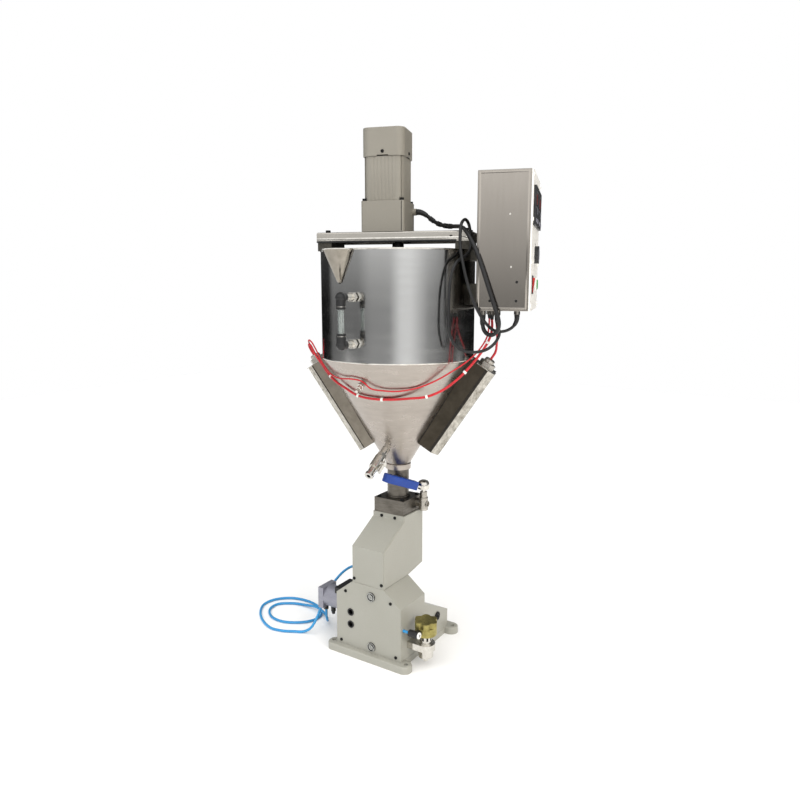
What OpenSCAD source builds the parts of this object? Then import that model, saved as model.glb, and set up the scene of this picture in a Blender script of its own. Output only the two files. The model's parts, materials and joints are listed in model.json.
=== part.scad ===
// Heated single-hopper lipstick filling machine, in millimetres.
// The origin lies on the hopper axis, on the surface the machine stands on.
// The hopper, its bridge, the motor and the control box are turned as one about the vertical axis.

/* [Base] */
// Length of each foot bar, across the machine
foot_len = 212; // [206:1:240]
// Width of each foot bar
foot_w = 32; // [24:1:40]
// Distance between the two foot bars
foot_pitch = 200; // [190:1:230]
// Distance from the hopper axis to the front foot bar
foot_front = 115; // [110:1:120]
// Width of the base plate between the foot bars
base_w = 165; // [160:1:190]
// Thickness of the base plate and foot bars
base_t = 16; // [10:1:24]
// Distance between bolt holes, across the machine
bolt_pitch = 188; // [176:1:192]
// Diameter of the base bolt holes
bolt_d = 9; // [6:0.5:11]

/* [Lower housing] */
// Width of the lower housing
housing_w = 166; // [160:1:180]
// Depth of the lower housing behind its front plate
housing_d = 92; // [88:1:96]
// Distance from the hopper axis to the front plate's face
housing_front = 118; // [114:1:122]
// Height of the lower housing
housing_h = 150; // [140:1:170]
// Width of the slope at each top corner
slope_w = 42; // [30:1:42]
// Height of the slope at each top corner
slope_h = 33; // [20:1:40]
// Thickness of the folded sheet
sheet = 3; // [2:0.5:4]
// Thickness of the front plate
front_plate_t = 4; // [3:0.5:6]
// Depth of the sloped rear box
rear_box_d = 102; // [80:1:110]
// Height of the rear box at the housing
rear_box_high = 94; // [70:1:100]
// Height of the rear box at its back
rear_box_low = 40; // [30:1:60]

/* [Column] */
// Width of the column casing
column_w = 82; // [78:1:90]
// Height of the column casing above the lower housing
column_h = 136; // [120:1:160]
// Distance from the hopper axis to the back of the column
column_back = 37; // [36:1:44]
// Distance from the hopper axis to the column's upper front
column_throat = 37; // [36:1:44]
// Height of the column's lower front
column_knee_h = 80; // [60:1:90]
// Height of the upright strip above the column's slope
fascia_h = 11; // [9:1:20]
// Rise of the column's underside at its back
underside_rise = 10; // [6:1:20]
// Thickness of the front cover
cover_t = 2; // [1.5:0.5:3]

/* [Product path] */
// Side of the square manifold block
block_w = 75; // [70:1:82]
// Height of the manifold block
block_h = 32; // [28:1:40]
// Outside diameter of the outlet tube
outlet_d = 47; // [42:1:50]
// Bore of the outlet tube
outlet_bore = 41; // [34:1:41]
// Height of the outlet tube
outlet_h = 63; // [60:1:90]
// Outside diameter of the feed pipe
feed_d = 22; // [18:1:26]
// Bore of the feed pipe
feed_bore = 16; // [10:1:17]
// Width of the pump block
pump_w = 45; // [40:1:52]
// Depth of the pump block
pump_d = 50; // [44:1:60]
// Height of the pump block above the base plate
pump_h = 108; // [102:1:112]
// Bore of the metering cylinder
metering_bore = 30; // [20:1:34]
// Wall of the metering cylinder
metering_wall = 5; // [3:0.5:8]
// Stroke of the metering piston
stroke = 40; // [20:1:40]
// Running clearance of pistons and shafts, on the radius
running_fit = 0.05; // [0.03:0.01:0.08]

/* [Air cylinder] */
// Outside diameter of the air cylinder
air_d = 48; // [46:1:52]
// Bore of the air cylinder
air_bore = 40; // [32:1:42]
// Length of the air cylinder
air_len = 72; // [68:1:80]
// Diameter of the piston rod
rod_d = 12; // [8:1:14]
// Height of the air cylinder's axis
air_z = 92; // [84:1:96]

/* [Nozzle] */
// Distance from the hopper axis to the nozzle, sideways
nozzle_x = 118; // [112:1:130]
// Distance from the hopper axis to the nozzle, forwards
nozzle_y = 75; // [70:1:80]
// Height of the nozzle tip above the table
tip_z = 14; // [8:1:20]
// Bore of the nozzle tip
tip_bore = 3; // [2:0.5:4]
// Diameter of the nozzle body
nozzle_body_d = 31; // [28:1:36]
// Diameter of the nozzle's air cylinder
nozzle_air_d = 46; // [40:1:48]
// Diameter of the lobed adjusting knob
knob_d = 50; // [44:1:54]
// Lift of the needle
needle_lift = 4; // [2:0.5:5]

/* [Hopper] */
// Turn of the hopper and everything on it, about the vertical axis
hopper_turn = 18.7; // [0:0.1:30]
// Outside diameter of the jacket
hopper_d = 320; // [310:1:330]
// Height of the straight part of the hopper
hopper_h = 218.5; // [200:0.5:240]
// Height of the cone
cone_h = 232.5; // [220:0.5:250]
// Outside diameter of the neck at the foot of the cone
neck_d = 52; // [50:1:60]
// Height of the neck collar
neck_h = 11; // [8:1:16]
// Thickness of the jacket and liner sheet
skin = 1.5; // [1:0.5:2.5]
// Gap between the jacket and the liner
jacket_gap = 17; // [12:1:20]
// Turn of the filling pocket from the front, towards the left
pocket_turn = 30; // [20:1:40]
// Radius of the filling pocket's mouth
pocket_r = 34; // [26:1:38]
// Depth of the filling pocket below the rim
pocket_h = 64; // [50:1:76]
// Turn of the level gauge, temperature probe and drain from the front
fittings_turn = 17; // [10:1:24]
// Height of the upper gauge nipple above the shoulder
gauge_high = 127.5; // [110:0.5:140]
// Height of the lower gauge nipple above the shoulder
gauge_low = 38.5; // [30:0.5:50]
// Length of each gauge nipple
nipple_len = 44; // [36:1:50]
// Outside diameter of the sight tube
sight_d = 12; // [8:1:14]
// Height of the temperature probe above the neck
probe_z = 200; // [185:1:210]
// Height of the drain cock above the neck
drain_z = 51; // [45:1:70]

/* [Heaters] */
// Length of each heater box
heater_len = 212; // [180:1:220]
// Width of each heater box
heater_w = 52; // [44:1:60]
// Depth of each heater box from its axis outwards
heater_depth = 25; // [20:1:30]
// Lean of each heater box from upright
heater_lean = 33.5; // [32:0.5:36]
// Height of the heater box's foot above the neck
heater_z = 49; // [40:1:60]
// Distance of the heater box's axis outside the cone
heater_out = 21.5; // [19:0.5:28]
// Diameter of the heating rod
heater_rod_d = 12; // [8:1:16]

/* [Bridge and gearmotor] */
// Gap between the hopper rim and the bridge
bridge_gap = 17; // [12:1:30]
// Height of the folded bridge
bridge_h = 20.5; // [16:0.5:30]
// Width of the bridge
bridge_w = 90; // [88:1:100]
// Side of the square gearbox
gearbox_w = 90; // [88:1:90]
// Height of the gearbox
gearbox_h = 60.5; // [58:0.5:72]
// Side of the motor body
motor_w = 82; // [76:1:86]
// Height of the motor body
motor_h = 86; // [80:1:110]
// Side of the motor cap
cap_w = 87; // [84:1:90]
// Height of the motor cap's straight side
cap_h = 55; // [44:1:60]
// Diameter of the agitator shaft
agitator_d = 14; // [10:1:16]

/* [Control box] */
// Depth of the control box, away from the hopper
box_w = 99; // [90:1:120]
// Width of the control box, along its panel
box_d = 200; // [190:1:220]
// Height of the control box
box_h = 258; // [240:1:280]
// Gap between the hopper and the control box
box_gap = 18; // [12:1:20]
// Height of the control box's floor above the hopper's shoulder
box_floor = 101.5; // [90:0.5:110]
// Thickness of the control box's sheet
box_t = 1.5; // [1:0.5:2.5]
// Thickness of the control panel
panel_t = 3; // [2:0.5:5]

/* [Hidden] */
$fn = 64;

// Small gap between solids that don't touch
gap = 0.3;
// Overrun of a cutting shape past the face it cuts
over = 1;

// Levels, from the table up
housing_top = base_t + housing_h;
column_top = housing_top + column_h;
block_top = column_top + block_h;
neck_z = block_top + outlet_h;
cone_z = neck_z + neck_h;
shoulder_z = cone_z + cone_h;
rim_z = shoulder_z + hopper_h;
bridge_z = rim_z + bridge_gap;
bridge_top = bridge_z + bridge_h;
gearbox_top = bridge_top + gearbox_h;
motor_top = gearbox_top + motor_h;
cap_top = motor_top + cap_h;
box_z = shoulder_z + box_floor;
box_top = box_z + box_h;

// Front to back places of the lower unit
plate_back = -housing_front + front_plate_t;
housing_back = plate_back + housing_d;
column_front = housing_front - 1;

// Hopper sections
hopper_r = hopper_d/2;
cone_foot_r = neck_d/2;
cone_run = hopper_r - cone_foot_r;
cone_side = sqrt(cone_run*cone_run + cone_h*cone_h);
cone_lean = atan(cone_run/cone_h);
skin_run = skin*cone_side/cone_h;
liner_r = hopper_r - skin - jacket_gap;
liner_run = (skin + jacket_gap)*cone_side/cone_h;
liner_neck_r = outlet_bore/2 + skin;

// Pump layout
pump_x = 5;
pump_y = -70;
pump_top = base_t + pump_h;
feed_x = pump_x + pump_w/2 - 5;
feed_turn_z = column_top - 67;
metering_r = metering_bore/2;
piston_t = 12;
piston_x = pump_x - stroke - piston_t - over;
metering_len = stroke + piston_t + 3*over;

// Air cylinder layout
air_end_t = 5;
air_right = -housing_w/2;
air_left = air_right - air_len;
air_piston_t = 10;
air_piston_x = air_left + air_end_t + over;

// Nozzle stack, from the tip up
tip_h = 10;
tip_d = 9;
nozzle_body_h = 32;
collar_h = 18;
collar_d = 24;
nozzle_air_h = 18;
boss_h = 9;
knob_h = 12;
nozzle_body_z = tip_z + tip_h;
collar_z = nozzle_body_z + nozzle_body_h;
nozzle_air_z = collar_z + collar_h;
nozzle_air_top = nozzle_air_z + nozzle_air_h;
boss_top = nozzle_air_top + boss_h;
needle_d = 4;
needle_piston_r = 17;
needle_piston_t = 4;
needle_floor = nozzle_air_z + 5;
spring_mean_r = 5.7;
spring_wire = 0.8;
spring_well_r = 8;
bracket_z = nozzle_body_z + 16;
bracket_h = 14;
product_z = bracket_z + bracket_h/2;
product_bore_r = 4;

// Cock beside the manifold block
cock_x = block_w/2 + 14.5;
cock_y = 22;
cock_r = 10;
cock_h = 28;
cock_z = column_top + 2;
cock_plug_r = 7;
cock_stem_r = 4.5;
cock_bonnet_h = 13;
cock_hub_z = block_top + 19;
cock_hub_h = 11;
cock_lever_turn = 243.6;
cock_lever_rise = 21;
cock_lever_len = 97;
grip_start = 12;
grip_w = 22;
grip_t = 18.5;

// Gear train
gear_module = 0.7;
wheel_teeth = 48;
pinion_teeth = 12;
gear_centres = gear_module*(wheel_teeth + pinion_teeth)/2;
gear_t = 10;
idler_y = gear_centres*sin(60);
case_wall = 5;
case_floor = 5;
output_gear_z = bridge_top + case_floor + 4;
idler_gear_z = output_gear_z + gear_t + 13;
output_shaft_r = 8;
idler_shaft_r = 3;
motor_shaft_r = 5.5;
coupling_r = 12;
coupling_h = 24;

// Agitator
shaft_foot_z = cone_z + 40;
blade_t = 4;
blade_w = 18;
blade_gap = 5;

// Heater box
heater_x = cone_foot_r + cone_run*(heater_z - neck_h)/cone_h + heater_out;
heater_wall = 2;
left_heater_in = 8;
heater_head_r = 17.3;
heater_head_h = 12;
heater_cap_r = 11;
heater_cap_h = 8;

// Control panel layout, measured from the middle of the panel
box_x = hopper_r + box_gap;
panel_x = box_x + box_w;
panel_face = panel_x + panel_t;
box_mid_z = box_z + box_h/2;
controller_w = 72;
controller_proud = 5;
controller_y = 46;
controller_z = 66;
dial_r = 17;
dial_h = 8;
dial_z = -22;
switch_w = 20;
switch_h = 30;
switch_y = -56;
switch_z = -80;
button_r = 10;
button_proud = 4;
button_y = 56;
panel_screw_y = box_d/2 - 6;
gland_h = 8;
gland_d = 12;

// Places of the leads in the box floor, in the hopper's own frame
box_glands = [[190, -84], [218, -84], [253, -58], [206, -68], [199, -54], [213, -52]];

// Routes of the cords: the hose in the machine's frame, the leads in the hopper's frame
hose_r = 3;
hose_route = [[-96, -30, 124], [-96, -20, 124.2], [-96.8, -8, 125.4], [-99.8, 3.5, 127.5],
    [-107, 13, 130.2], [-117.5, 17.5, 132.6], [-129, 16, 133.4], [-139, 8.5, 131.5], [-147, -4, 125.5],
    [-153.5, -19, 115.5], [-158.5, -35.5, 101.5], [-162, -52.5, 83.5], [-164.5, -69, 62.5],
    [-166.5, -83, 40.5], [-170.5, -94, 22], [-178.5, -102, 9.8], [-192, -109.5, 3.8],
    [-209, -118, 3.4], [-232, -130, 3.4], [-266, -135, 3.4], [-306, -119, 3.4], [-342, -90, 3.4],
    [-364, -54, 3.4], [-358, -18, 3.4], [-328, 10, 3.4], [-284, 18, 3.4], [-240, 8, 3.4],
    [-212, -16, 3.4], [-206, -48, 3.4], [-224, -76, 3.4], [-260, -96, 3.4], [-300, -94, 3.4],
    [-332, -68, 3.4], [-336, -36, 3.3], [-308, -12, 3.3], [-272, -4, 5], [-236, -6, 9.6],
    [-204, -17, 9.6], [-180, -34, 10], [-163, -52, 15], [-154, -65, 25], [-152, -70, 38],
    [-152, -70, 47], [-152, -70, 54.6]];
motor_lead_r = 4;
motor_lead_route = [[32.4, 30, 940], [40, 30, 939.4], [48, 29.4, 936.2], [56.5, 27.2, 930.6],
    [66, 22.5, 923.4], [77.5, 15, 916.2], [91, 3, 910.6], [106, -14, 907], [118, -31, 905],
    [130, -49.5, 903.5], [141, -67, 901.5], [150, -80.5, 897], [158.5, -91, 888], [167.5, -98, 874.5],
    [179, -105, 853], [191.5, -109.5, 820], [204, -112.5, 784], [216, -113.5, 750], [222.8, -113, 730],
    [224.4, -111.5, 717.5], [222.2, -108.5, 707.2], [215.8, -103, 699.2], [207.4, -96.6, 696.2],
    [199, -90.8, 698.6], [192.4, -86, 706.6], [190, -84, 717.5], [190, -84, 725.5], [190, -84, 733.6]];
power_lead_r = 3;
power_lead_route = [[253, -58, 733.6], [253, -58, 727], [251.6, -58.6, 719.5], [247, -61, 711.5],
    [239.5, -65, 705.5], [229.5, -70.5, 702], [218, -78, 702], [206.5, -88, 708.5],
    [191.4, -101.5, 728], [176.5, -107.5, 757], [164.7, -109, 790], [154.6, -108.5, 828],
    [148.2, -106.5, 862], [147.4, -104, 888], [148.3, -96, 905.5], [152.6, -81, 913.5],
    [157.1, -67, 906.5], [159.8, -60, 889.5], [161, -60.5, 871], [160.2, -67, 857],
    [155.5, -80.5, 847], [148.3, -92.5, 841], [141, -103, 833], [135.1, -110, 819], [131.5, -115, 800],
    [130.2, -119, 775], [130, -121, 742], [131, -121, 705], [142, -117, 678], [160, -112, 666],
    [181, -109, 664], [201, -107, 669], [216, -101, 681], [223, -92, 696], [221, -85, 710],
    [218, -84, 723], [218, -84, 733.6]];
heater_lead_r = 2.5;
heater_lead_left_route = [[206, -68, 733.6], [206, -68, 724], [207, -71, 713], [206, -77, 697],
    [200, -82, 680], [188, -87, 660], [170, -92, 636], [146, -98, 610], [118, -104, 588],
    [86, -111, 574], [52, -117, 570], [16, -121, 567], [-20, -121, 567], [-54, -113, 571],
    [-84, -103, 584], [-108, -90, 594], [-132, -72, 609], [-150, -57, 625], [-163, -45.5, 634.5],
    [-174, -36.5, 644.5], [-181, -30.5, 652.5], [-187, -26.2, 660], [-191.5, -21.9, 662.8],
    [-195.7, -15.9, 662.3], [-197.7, -9.9, 658.7], [-197.1, -5.6, 653], [-194.6, -4, 647.3],
    [-189.7, -4, 639.9]];
heater_lead_right_route = [[213, -52, 733.6], [213, -52, 724], [213.5, -50.5, 715], [214, -47, 706],
    [214, -42, 697], [213.5, -36, 689], [212.5, -30, 682], [211.5, -23.5, 676], [210.5, -17, 670.5],
    [209.5, -11, 665.5], [208.5, -6, 660.5], [206.8, -2.5, 655], [204, 0, 649.5], [200.8, 0, 644.6],
    [197.7, 0, 639.9]];
probe_lead_r = 1.6;
probe_lead_route = [[199, -54, 733.6], [199, -54, 724], [199, -58, 709], [196, -66, 688],
    [182, -76, 664], [160, -84, 642], [134, -92, 624], [104, -104, 606], [70, -116, 592],
    [34, -129, 585.5], [0, -134.5, 586.5], [-20, -137, 590], [-32, -138.5, 600], [-42, -138, 605.5],
    [-64, -131, 607], [-94, -112, 605], [-122, -88, 611], [-146, -66, 629], [-162, -49, 645.5],
    [-174.5, -37, 659], [-182.1, -31.3, 667.5], [-190.1, -24, 672], [-196.6, -14.7, 671.3],
    [-199.7, -5.3, 665.6], [-198.9, 1.5, 656.6], [-194.6, 4, 647.3], [-189.7, 4, 639.9]];

// Puts children in the hopper's own frame
module hopper_place() {
    rotate([0, 0, hopper_turn]) children();
}

// Radius of the jacket's outside at a height
function cone_r(z) = cone_foot_r + cone_run*(z - cone_z)/cone_h;

function unit(v) = v/norm(v);
function tangent(p, i) = unit(p[min(i + 1, len(p) - 1)] - p[max(i - 1, 0)]);
function first_side(t) = unit(cross(t, abs(t[2]) < 0.9 ? [0, 0, 1] : [1, 0, 0]));
function side_at(p, i) =
    i == 0 ? first_side(tangent(p, 0))
    : let (n = side_at(p, i - 1), t = tangent(p, i)) unit(n - (n*t)*t);
function ring_points(p, i, r, sides) =
    let (t = tangent(p, i), n = side_at(p, i), b = cross(t, n))
    [for (j = [0:sides - 1]) p[i] + r*cos(360*j/sides)*n + r*sin(360*j/sides)*b];

// A cord swept along its route
module swept_cord(route, r, sides) {
    rings = len(route);
    points = [for (i = [0:rings - 1]) each ring_points(route, i, r, sides)];
    walls = [for (i = [0:rings - 2], j = [0:sides - 1])
        [i*sides + j, (i + 1)*sides + j, (i + 1)*sides + (j + 1)%sides, i*sides + (j + 1)%sides]];
    first_cap = [for (j = [0:sides - 1]) j];
    last_cap = [for (j = [sides - 1:-1:0]) (rings - 1)*sides + j];
    polyhedron(points, concat(walls, [first_cap, last_cap]));
}

// A side profile given as [y, z] points, made solid across a width
module side_profile(points, width) {
    translate([-width/2, 0, 0])
        rotate([90, 0, 90])
            linear_extrude(width)
                polygon(points);
}

// A front profile given as [x, z] points, made solid from y0 backwards
module front_profile(points, y0, depth) {
    translate([0, y0 + depth, 0])
        rotate([90, 0, 0])
            linear_extrude(depth)
                polygon(points);
}

// A tube or rod that runs along an axis
module along_x(r, len) {
    rotate([0, 90, 0]) cylinder(r = r, h = len);
}
module along_y(r, len) {
    rotate([-90, 0, 0]) cylinder(r = r, h = len);
}

// A square bar with rounded corners
module rounded_bar(side, corner, height) {
    linear_extrude(height)
        union() {
            square([side, side - 2*corner], center = true);
            square([side - 2*corner, side], center = true);
            for (x = [-1, 1], y = [-1, 1])
                translate([x*(side/2 - corner), y*(side/2 - corner)]) circle(r = corner);
        }
}

// The four base bolt holes
foot_rows = [-foot_front, foot_pitch - foot_front];

module base_bolt_places() {
    for (x = [-1, 1], y = foot_rows)
        translate([x*bolt_pitch/2, y, 0]) children();
}

module base_plate() {
    color("#d5d4c4")
    difference() {
        union() {
            translate([-base_w/2, -foot_front, 0]) cube([base_w, foot_pitch, base_t]);
            for (y = foot_rows)
                translate([0, y, 0]) {
                    translate([-(foot_len - foot_w)/2, -foot_w/2, 0])
                        cube([foot_len - foot_w, foot_w, base_t]);
                    for (x = [-1, 1])
                        translate([x*(foot_len - foot_w)/2, 0, 0]) cylinder(d = foot_w, h = base_t);
                }
        }
        base_bolt_places()
            translate([0, 0, -over]) cylinder(d = bolt_d, h = base_t + 2*over);
    }
}

// The housing's outline seen from the front, drawn in by a wall thickness
function housing_outline(t) =
    let (side = sqrt(slope_w*slope_w + slope_h*slope_h), nx = slope_h/side, nz = slope_w/side,
        low_z = housing_top - slope_h + (nx*t - t)/nz,
        high_x = housing_w/2 + (nz*(t - slope_h) - t)/nx,
        foot_z = t > 0 ? base_t - over : base_t)
    [[-housing_w/2 + t, foot_z], [housing_w/2 - t, foot_z], [housing_w/2 - t, low_z],
        [high_x, housing_top - t], [-high_x, housing_top - t], [-housing_w/2 + t, low_z]];

spigot_r = 6.5;
air_nose_r = 12;

module housing_shell() {
    color("#b9b3a3")
    difference() {
        front_profile(housing_outline(0), plate_back, housing_d);
        front_profile(housing_outline(sheet), plate_back - over, housing_d - sheet + over);
        // opening under the column for the feed pipe
        translate([-column_w/2 + sheet + 1, plate_back + 14, housing_top - sheet - over])
            cube([column_w - 2*sheet - 2, housing_d - 26, sheet + 2*over]);
        // hole for the nose of the air cylinder
        translate([-housing_w/2 - over, pump_y, air_z])
            along_x(air_nose_r + gap, sheet + 2*over);
        // hole for the bracket's spigot
        translate([housing_w/2 - sheet - over, pump_y, product_z])
            along_x(spigot_r + gap, sheet + 2*over);
    }
}

module front_screw_places() {
    for (x = [-1, 1]) {
        translate([x*(housing_w/2 - 25), -housing_front, housing_top - 25]) children();
        translate([x*(housing_w/2 - 12), -housing_front, base_t + 9]) children();
    }
}

ring_bolt_x = 9;
ring_bolt_low = 14.5;
ring_bolt_high = housing_h - 22.5;
access_x = -45;
access_zs = [51.5, 79.5];
access_r = 7.7;
ring_bolt_r = 10;
ring_bolt_head_r = 5.6;

module front_ring_bolt_places() {
    for (z = [ring_bolt_low, ring_bolt_high])
        translate([ring_bolt_x, -housing_front, base_t + z]) children();
}

module front_plate() {
    color("#bab9ac")
    difference() {
        front_profile(housing_outline(0), -housing_front, front_plate_t);
        front_screw_places()
            translate([0, -over, 0]) along_y(2.2, front_plate_t + 2*over);
        front_ring_bolt_places()
            translate([0, -over, 0]) along_y(4.2, front_plate_t + 2*over);
        for (z = access_zs)
            translate([access_x, -housing_front - over, base_t + z])
                along_y(access_r, front_plate_t + 2*over);
    }
}

knee_z = housing_top + column_knee_h;
slope_top_z = column_top - fascia_h;

module column_casing() {
    outer = [[-column_front + cover_t, housing_top], [-column_front + cover_t, knee_z],
        [-column_throat, slope_top_z], [-column_throat, column_top], [column_back, column_top],
        [column_back, housing_top + underside_rise], [housing_back, housing_top]];
    inner = [[-column_front - over, housing_top - over], [-column_front - over, column_top - sheet],
        [column_back - sheet, column_top - sheet],
        [column_back - sheet, housing_top + underside_rise + sheet],
        [housing_back - sheet, housing_top + sheet], [housing_back - sheet, housing_top - over]];
    color("#b6ac9c")
    difference() {
        side_profile(outer, column_w);
        side_profile(inner, column_w - 2*sheet);
        translate([0, 0, column_top - sheet - over])
            cylinder(d = feed_d + 1, h = sheet + 2*over);
    }
}

cover_seam = 1.5;

module cover_screw_places() {
    for (x = [-1, 1]) {
        translate([x*(column_w/2 - 6), -column_front, housing_top + 9]) children();
        translate([x*(column_w/2 - 24), -column_throat - cover_t, column_top - 6.5]) children();
    }
}

module column_cover() {
    lift = cover_t*(1 - sin(atan((slope_top_z - knee_z)/(column_front - column_throat))));
    strip = [[-column_front, housing_top], [-column_front, knee_z + lift],
        [-column_throat - cover_t, slope_top_z + lift], [-column_throat - cover_t, column_top],
        [-column_throat, column_top], [-column_throat, slope_top_z],
        [-column_front + cover_t, knee_z], [-column_front + cover_t, housing_top]];
    color("#bcbbae")
    difference() {
        side_profile(strip, column_w - 2*cover_seam);
        cover_screw_places()
            translate([0, -over, 0]) along_y(2.2, cover_t + 2*over);
    }
}

module rear_box() {
    back = housing_back + rear_box_d;
    fall = (rear_box_high - rear_box_low)/rear_box_d;
    drop = sheet*sqrt(1 + fall*fall);
    outer = [[housing_back, base_t], [back, base_t], [back, base_t + rear_box_low],
        [housing_back, base_t + rear_box_high]];
    inner = [[housing_back - over, base_t - over], [back - sheet, base_t - over],
        [back - sheet, base_t + rear_box_low + fall*sheet - drop],
        [housing_back - over, base_t + rear_box_high + fall*over - drop]];
    color("#b9b3a3")
    difference() {
        side_profile(outer, base_w);
        side_profile(inner, base_w - 2*sheet);
        rear_ring_bolt_place()
            translate([0, -over, 0]) along_y(4.2, sheet + 2*over);
    }
}

module rear_ring_bolt_place() {
    translate([base_w/2, housing_back + 54, base_t + 42])
        rotate([0, 0, 90]) children();
}

// Button-head socket screw, driven along +Y
module socket_screw(r, head, shank) {
    difference() {
        union() {
            translate([0, -head, 0]) along_y(1.7*r, head);
            along_y(r, shank);
        }
        translate([0, -head - over, 0])
            rotate([-90, 0, 0]) cylinder(r = 0.8*r, h = head*0.7 + over, $fn = 6);
    }
}

block_screw_in = 8;

module block_screw_places() {
    for (x = [-1, 1], y = [-1, 1])
        translate([x*(block_w/2 - block_screw_in), y*(block_w/2 - block_screw_in), block_top])
            rotate([-90, 0, 0]) children();
}

module socket_screws() {
    color("#c9c8c0") {
        front_screw_places() socket_screw(2, 1.6, front_plate_t);
        cover_screw_places() socket_screw(2, 1.6, cover_t);
        block_screw_places() socket_screw(2.5, 2, 12);
    }
}

// Socket screw standing in a raised black ring
module ring_bolt(shank) {
    difference() {
        union() {
            translate([0, -2.5, 0]) along_y(ring_bolt_r, 2.5);
            along_y(4, shank);
        }
        // groove between the ring and the screw's head
        translate([0, -2.5 - over, 0])
            difference() {
                along_y(ring_bolt_r - 2.2, 1.7 + over);
                along_y(ring_bolt_head_r, 1.7 + over);
            }
        translate([0, -2.5 - over, 0])
            rotate([-90, 0, 0]) cylinder(r = 3, h = 2 + over, $fn = 6);
    }
}

module ring_bolts() {
    color("#1c1c1c") {
        front_ring_bolt_places() ring_bolt(front_plate_t);
        rear_ring_bolt_place() ring_bolt(sheet);
    }
}

block_step = 8;
cross_bore_r = 5;

module manifold_block() {
    color("#6a665f")
    difference() {
        translate([-block_w/2, -block_w/2, column_top]) cube([block_w, block_w, block_h]);
        translate([0, 0, column_top + block_step]) cylinder(d = outlet_bore, h = block_h);
        translate([0, 0, column_top - over]) cylinder(d = feed_bore, h = block_step + 2*over);
        translate([10, cock_y, cock_z + cock_h/2]) along_x(cross_bore_r, block_w/2);
        block_screw_places() along_y(2.7, 13);
    }
}

foot_ring_h = 4;

module outlet_tube() {
    color("#8f8b84")
    difference() {
        union() {
            translate([0, 0, block_top]) cylinder(d = outlet_d, h = outlet_h);
            translate([0, 0, block_top]) cylinder(d = outlet_d + 6, h = foot_ring_h);
        }
        translate([0, 0, block_top - over]) cylinder(d = outlet_bore, h = outlet_h + 2*over);
    }
}

module cock_place() {
    translate([cock_x, cock_y, cock_z]) children();
}

module cock_body() {
    color("#a9a6a0")
    cock_place()
        difference() {
            union() {
                cylinder(r = cock_r, h = cock_h);
                translate([-cock_x + block_w/2, 0, cock_h/2])
                    along_x(9, cock_x - block_w/2);
                translate([0, 0, cock_h/2]) along_x(7, cock_r + 1);
                translate([0, 0, cock_h - over]) cylinder(r = 8, h = cock_bonnet_h + over);
            }
            translate([0, 0, 4]) cylinder(r = cock_plug_r + running_fit, h = cock_h - 8);
            translate([0, 0, cock_h - 5])
                cylinder(r = cock_stem_r + running_fit, h = 5 + cock_bonnet_h + over);
            translate([-cock_x, 0, cock_h/2]) along_x(cross_bore_r, 2*cock_x);
        }
}

module cock_plug() {
    color("#cfcdc8")
    cock_place()
        difference() {
            union() {
                translate([0, 0, 4 + gap])
                    cylinder(r = cock_plug_r, h = cock_h - 8 - 2*gap);
                translate([0, 0, cock_h - 5])
                    cylinder(r = cock_stem_r, h = cock_hub_z - cock_z - cock_h + 5);
                translate([0, 0, cock_hub_z - cock_z])
                    cylinder(r = 3, h = cock_hub_h + 5);
                translate([0, 0, cock_hub_z - cock_z + cock_hub_h + gap])
                    cylinder(r = 5.5, h = 5, $fn = 6);
            }
            rotate([0, 0, 90]) translate([-10, 0, cock_h/2]) along_x(cross_bore_r - 0.5, 20);
        }
}

// Frame of the lever: along +X from the stem, rising
module lever_place() {
    translate([cock_x, cock_y, cock_hub_z])
        rotate([0, 0, cock_lever_turn]) children();
}

module cock_lever() {
    color("#cfcdc8")
    lever_place()
        difference() {
            union() {
                cylinder(r = 12, h = cock_hub_h);
                translate([9, 0, 4]) rotate([0, -cock_lever_rise, 0])
                    translate([-4, -7, -2]) cube([cock_lever_len - 6, 14, 4]);
            }
            translate([0, 0, -over]) cylinder(r = 3.1, h = cock_hub_h + 2*over);
            translate([0, 0, cock_hub_h]) cylinder(r = 8, h = 20);
        }
}

module cock_grip() {
    color("#1448a8")
    lever_place()
        translate([9, 0, 4]) rotate([0, -cock_lever_rise, 0])
            difference() {
                union() {
                    translate([grip_start, -grip_w/2, -grip_t/2])
                        cube([cock_lever_len - grip_start - grip_w/2, grip_w, grip_t]);
                    translate([cock_lever_len - grip_w/2, 0, -grip_t/2])
                        cylinder(d = grip_w, h = grip_t);
                }
                translate([-4, -7, -2]) cube([cock_lever_len - 6, 14, 4]);
            }
}

// A straight pipe from one point to another, running on a little past both
module pipe_between(a, b, r, past) {
    v = b - a;
    translate(a)
        rotate([0, acos(v[2]/norm(v)), atan2(v[1], v[0])])
            translate([0, 0, -past]) cylinder(r = r, h = norm(v) + 2*past);
}

module feed_pipe() {
    low_bend = [feed_x, pump_y, housing_top - 6];
    high_bend = [0, 0, feed_turn_z];
    color("#b5b2ac")
    difference() {
        union() {
            translate([feed_x, pump_y, pump_top]) cylinder(d = feed_d, h = low_bend[2] - pump_top);
            pipe_between(low_bend, high_bend, feed_d/2, 0);
            translate(high_bend) cylinder(d = feed_d, h = column_top - feed_turn_z);
            // welded bends
            for (p = [low_bend, high_bend]) translate(p) sphere(r = feed_d/2 + 1.2);
        }
        translate([feed_x, pump_y, pump_top - over])
            cylinder(d = feed_bore, h = low_bend[2] - pump_top + over);
        pipe_between(low_bend, high_bend, feed_bore/2 - 0.3, 4);
        translate(high_bend) cylinder(d = feed_bore, h = column_top - feed_turn_z + over);
    }
}

chamber_r = 9;

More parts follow.
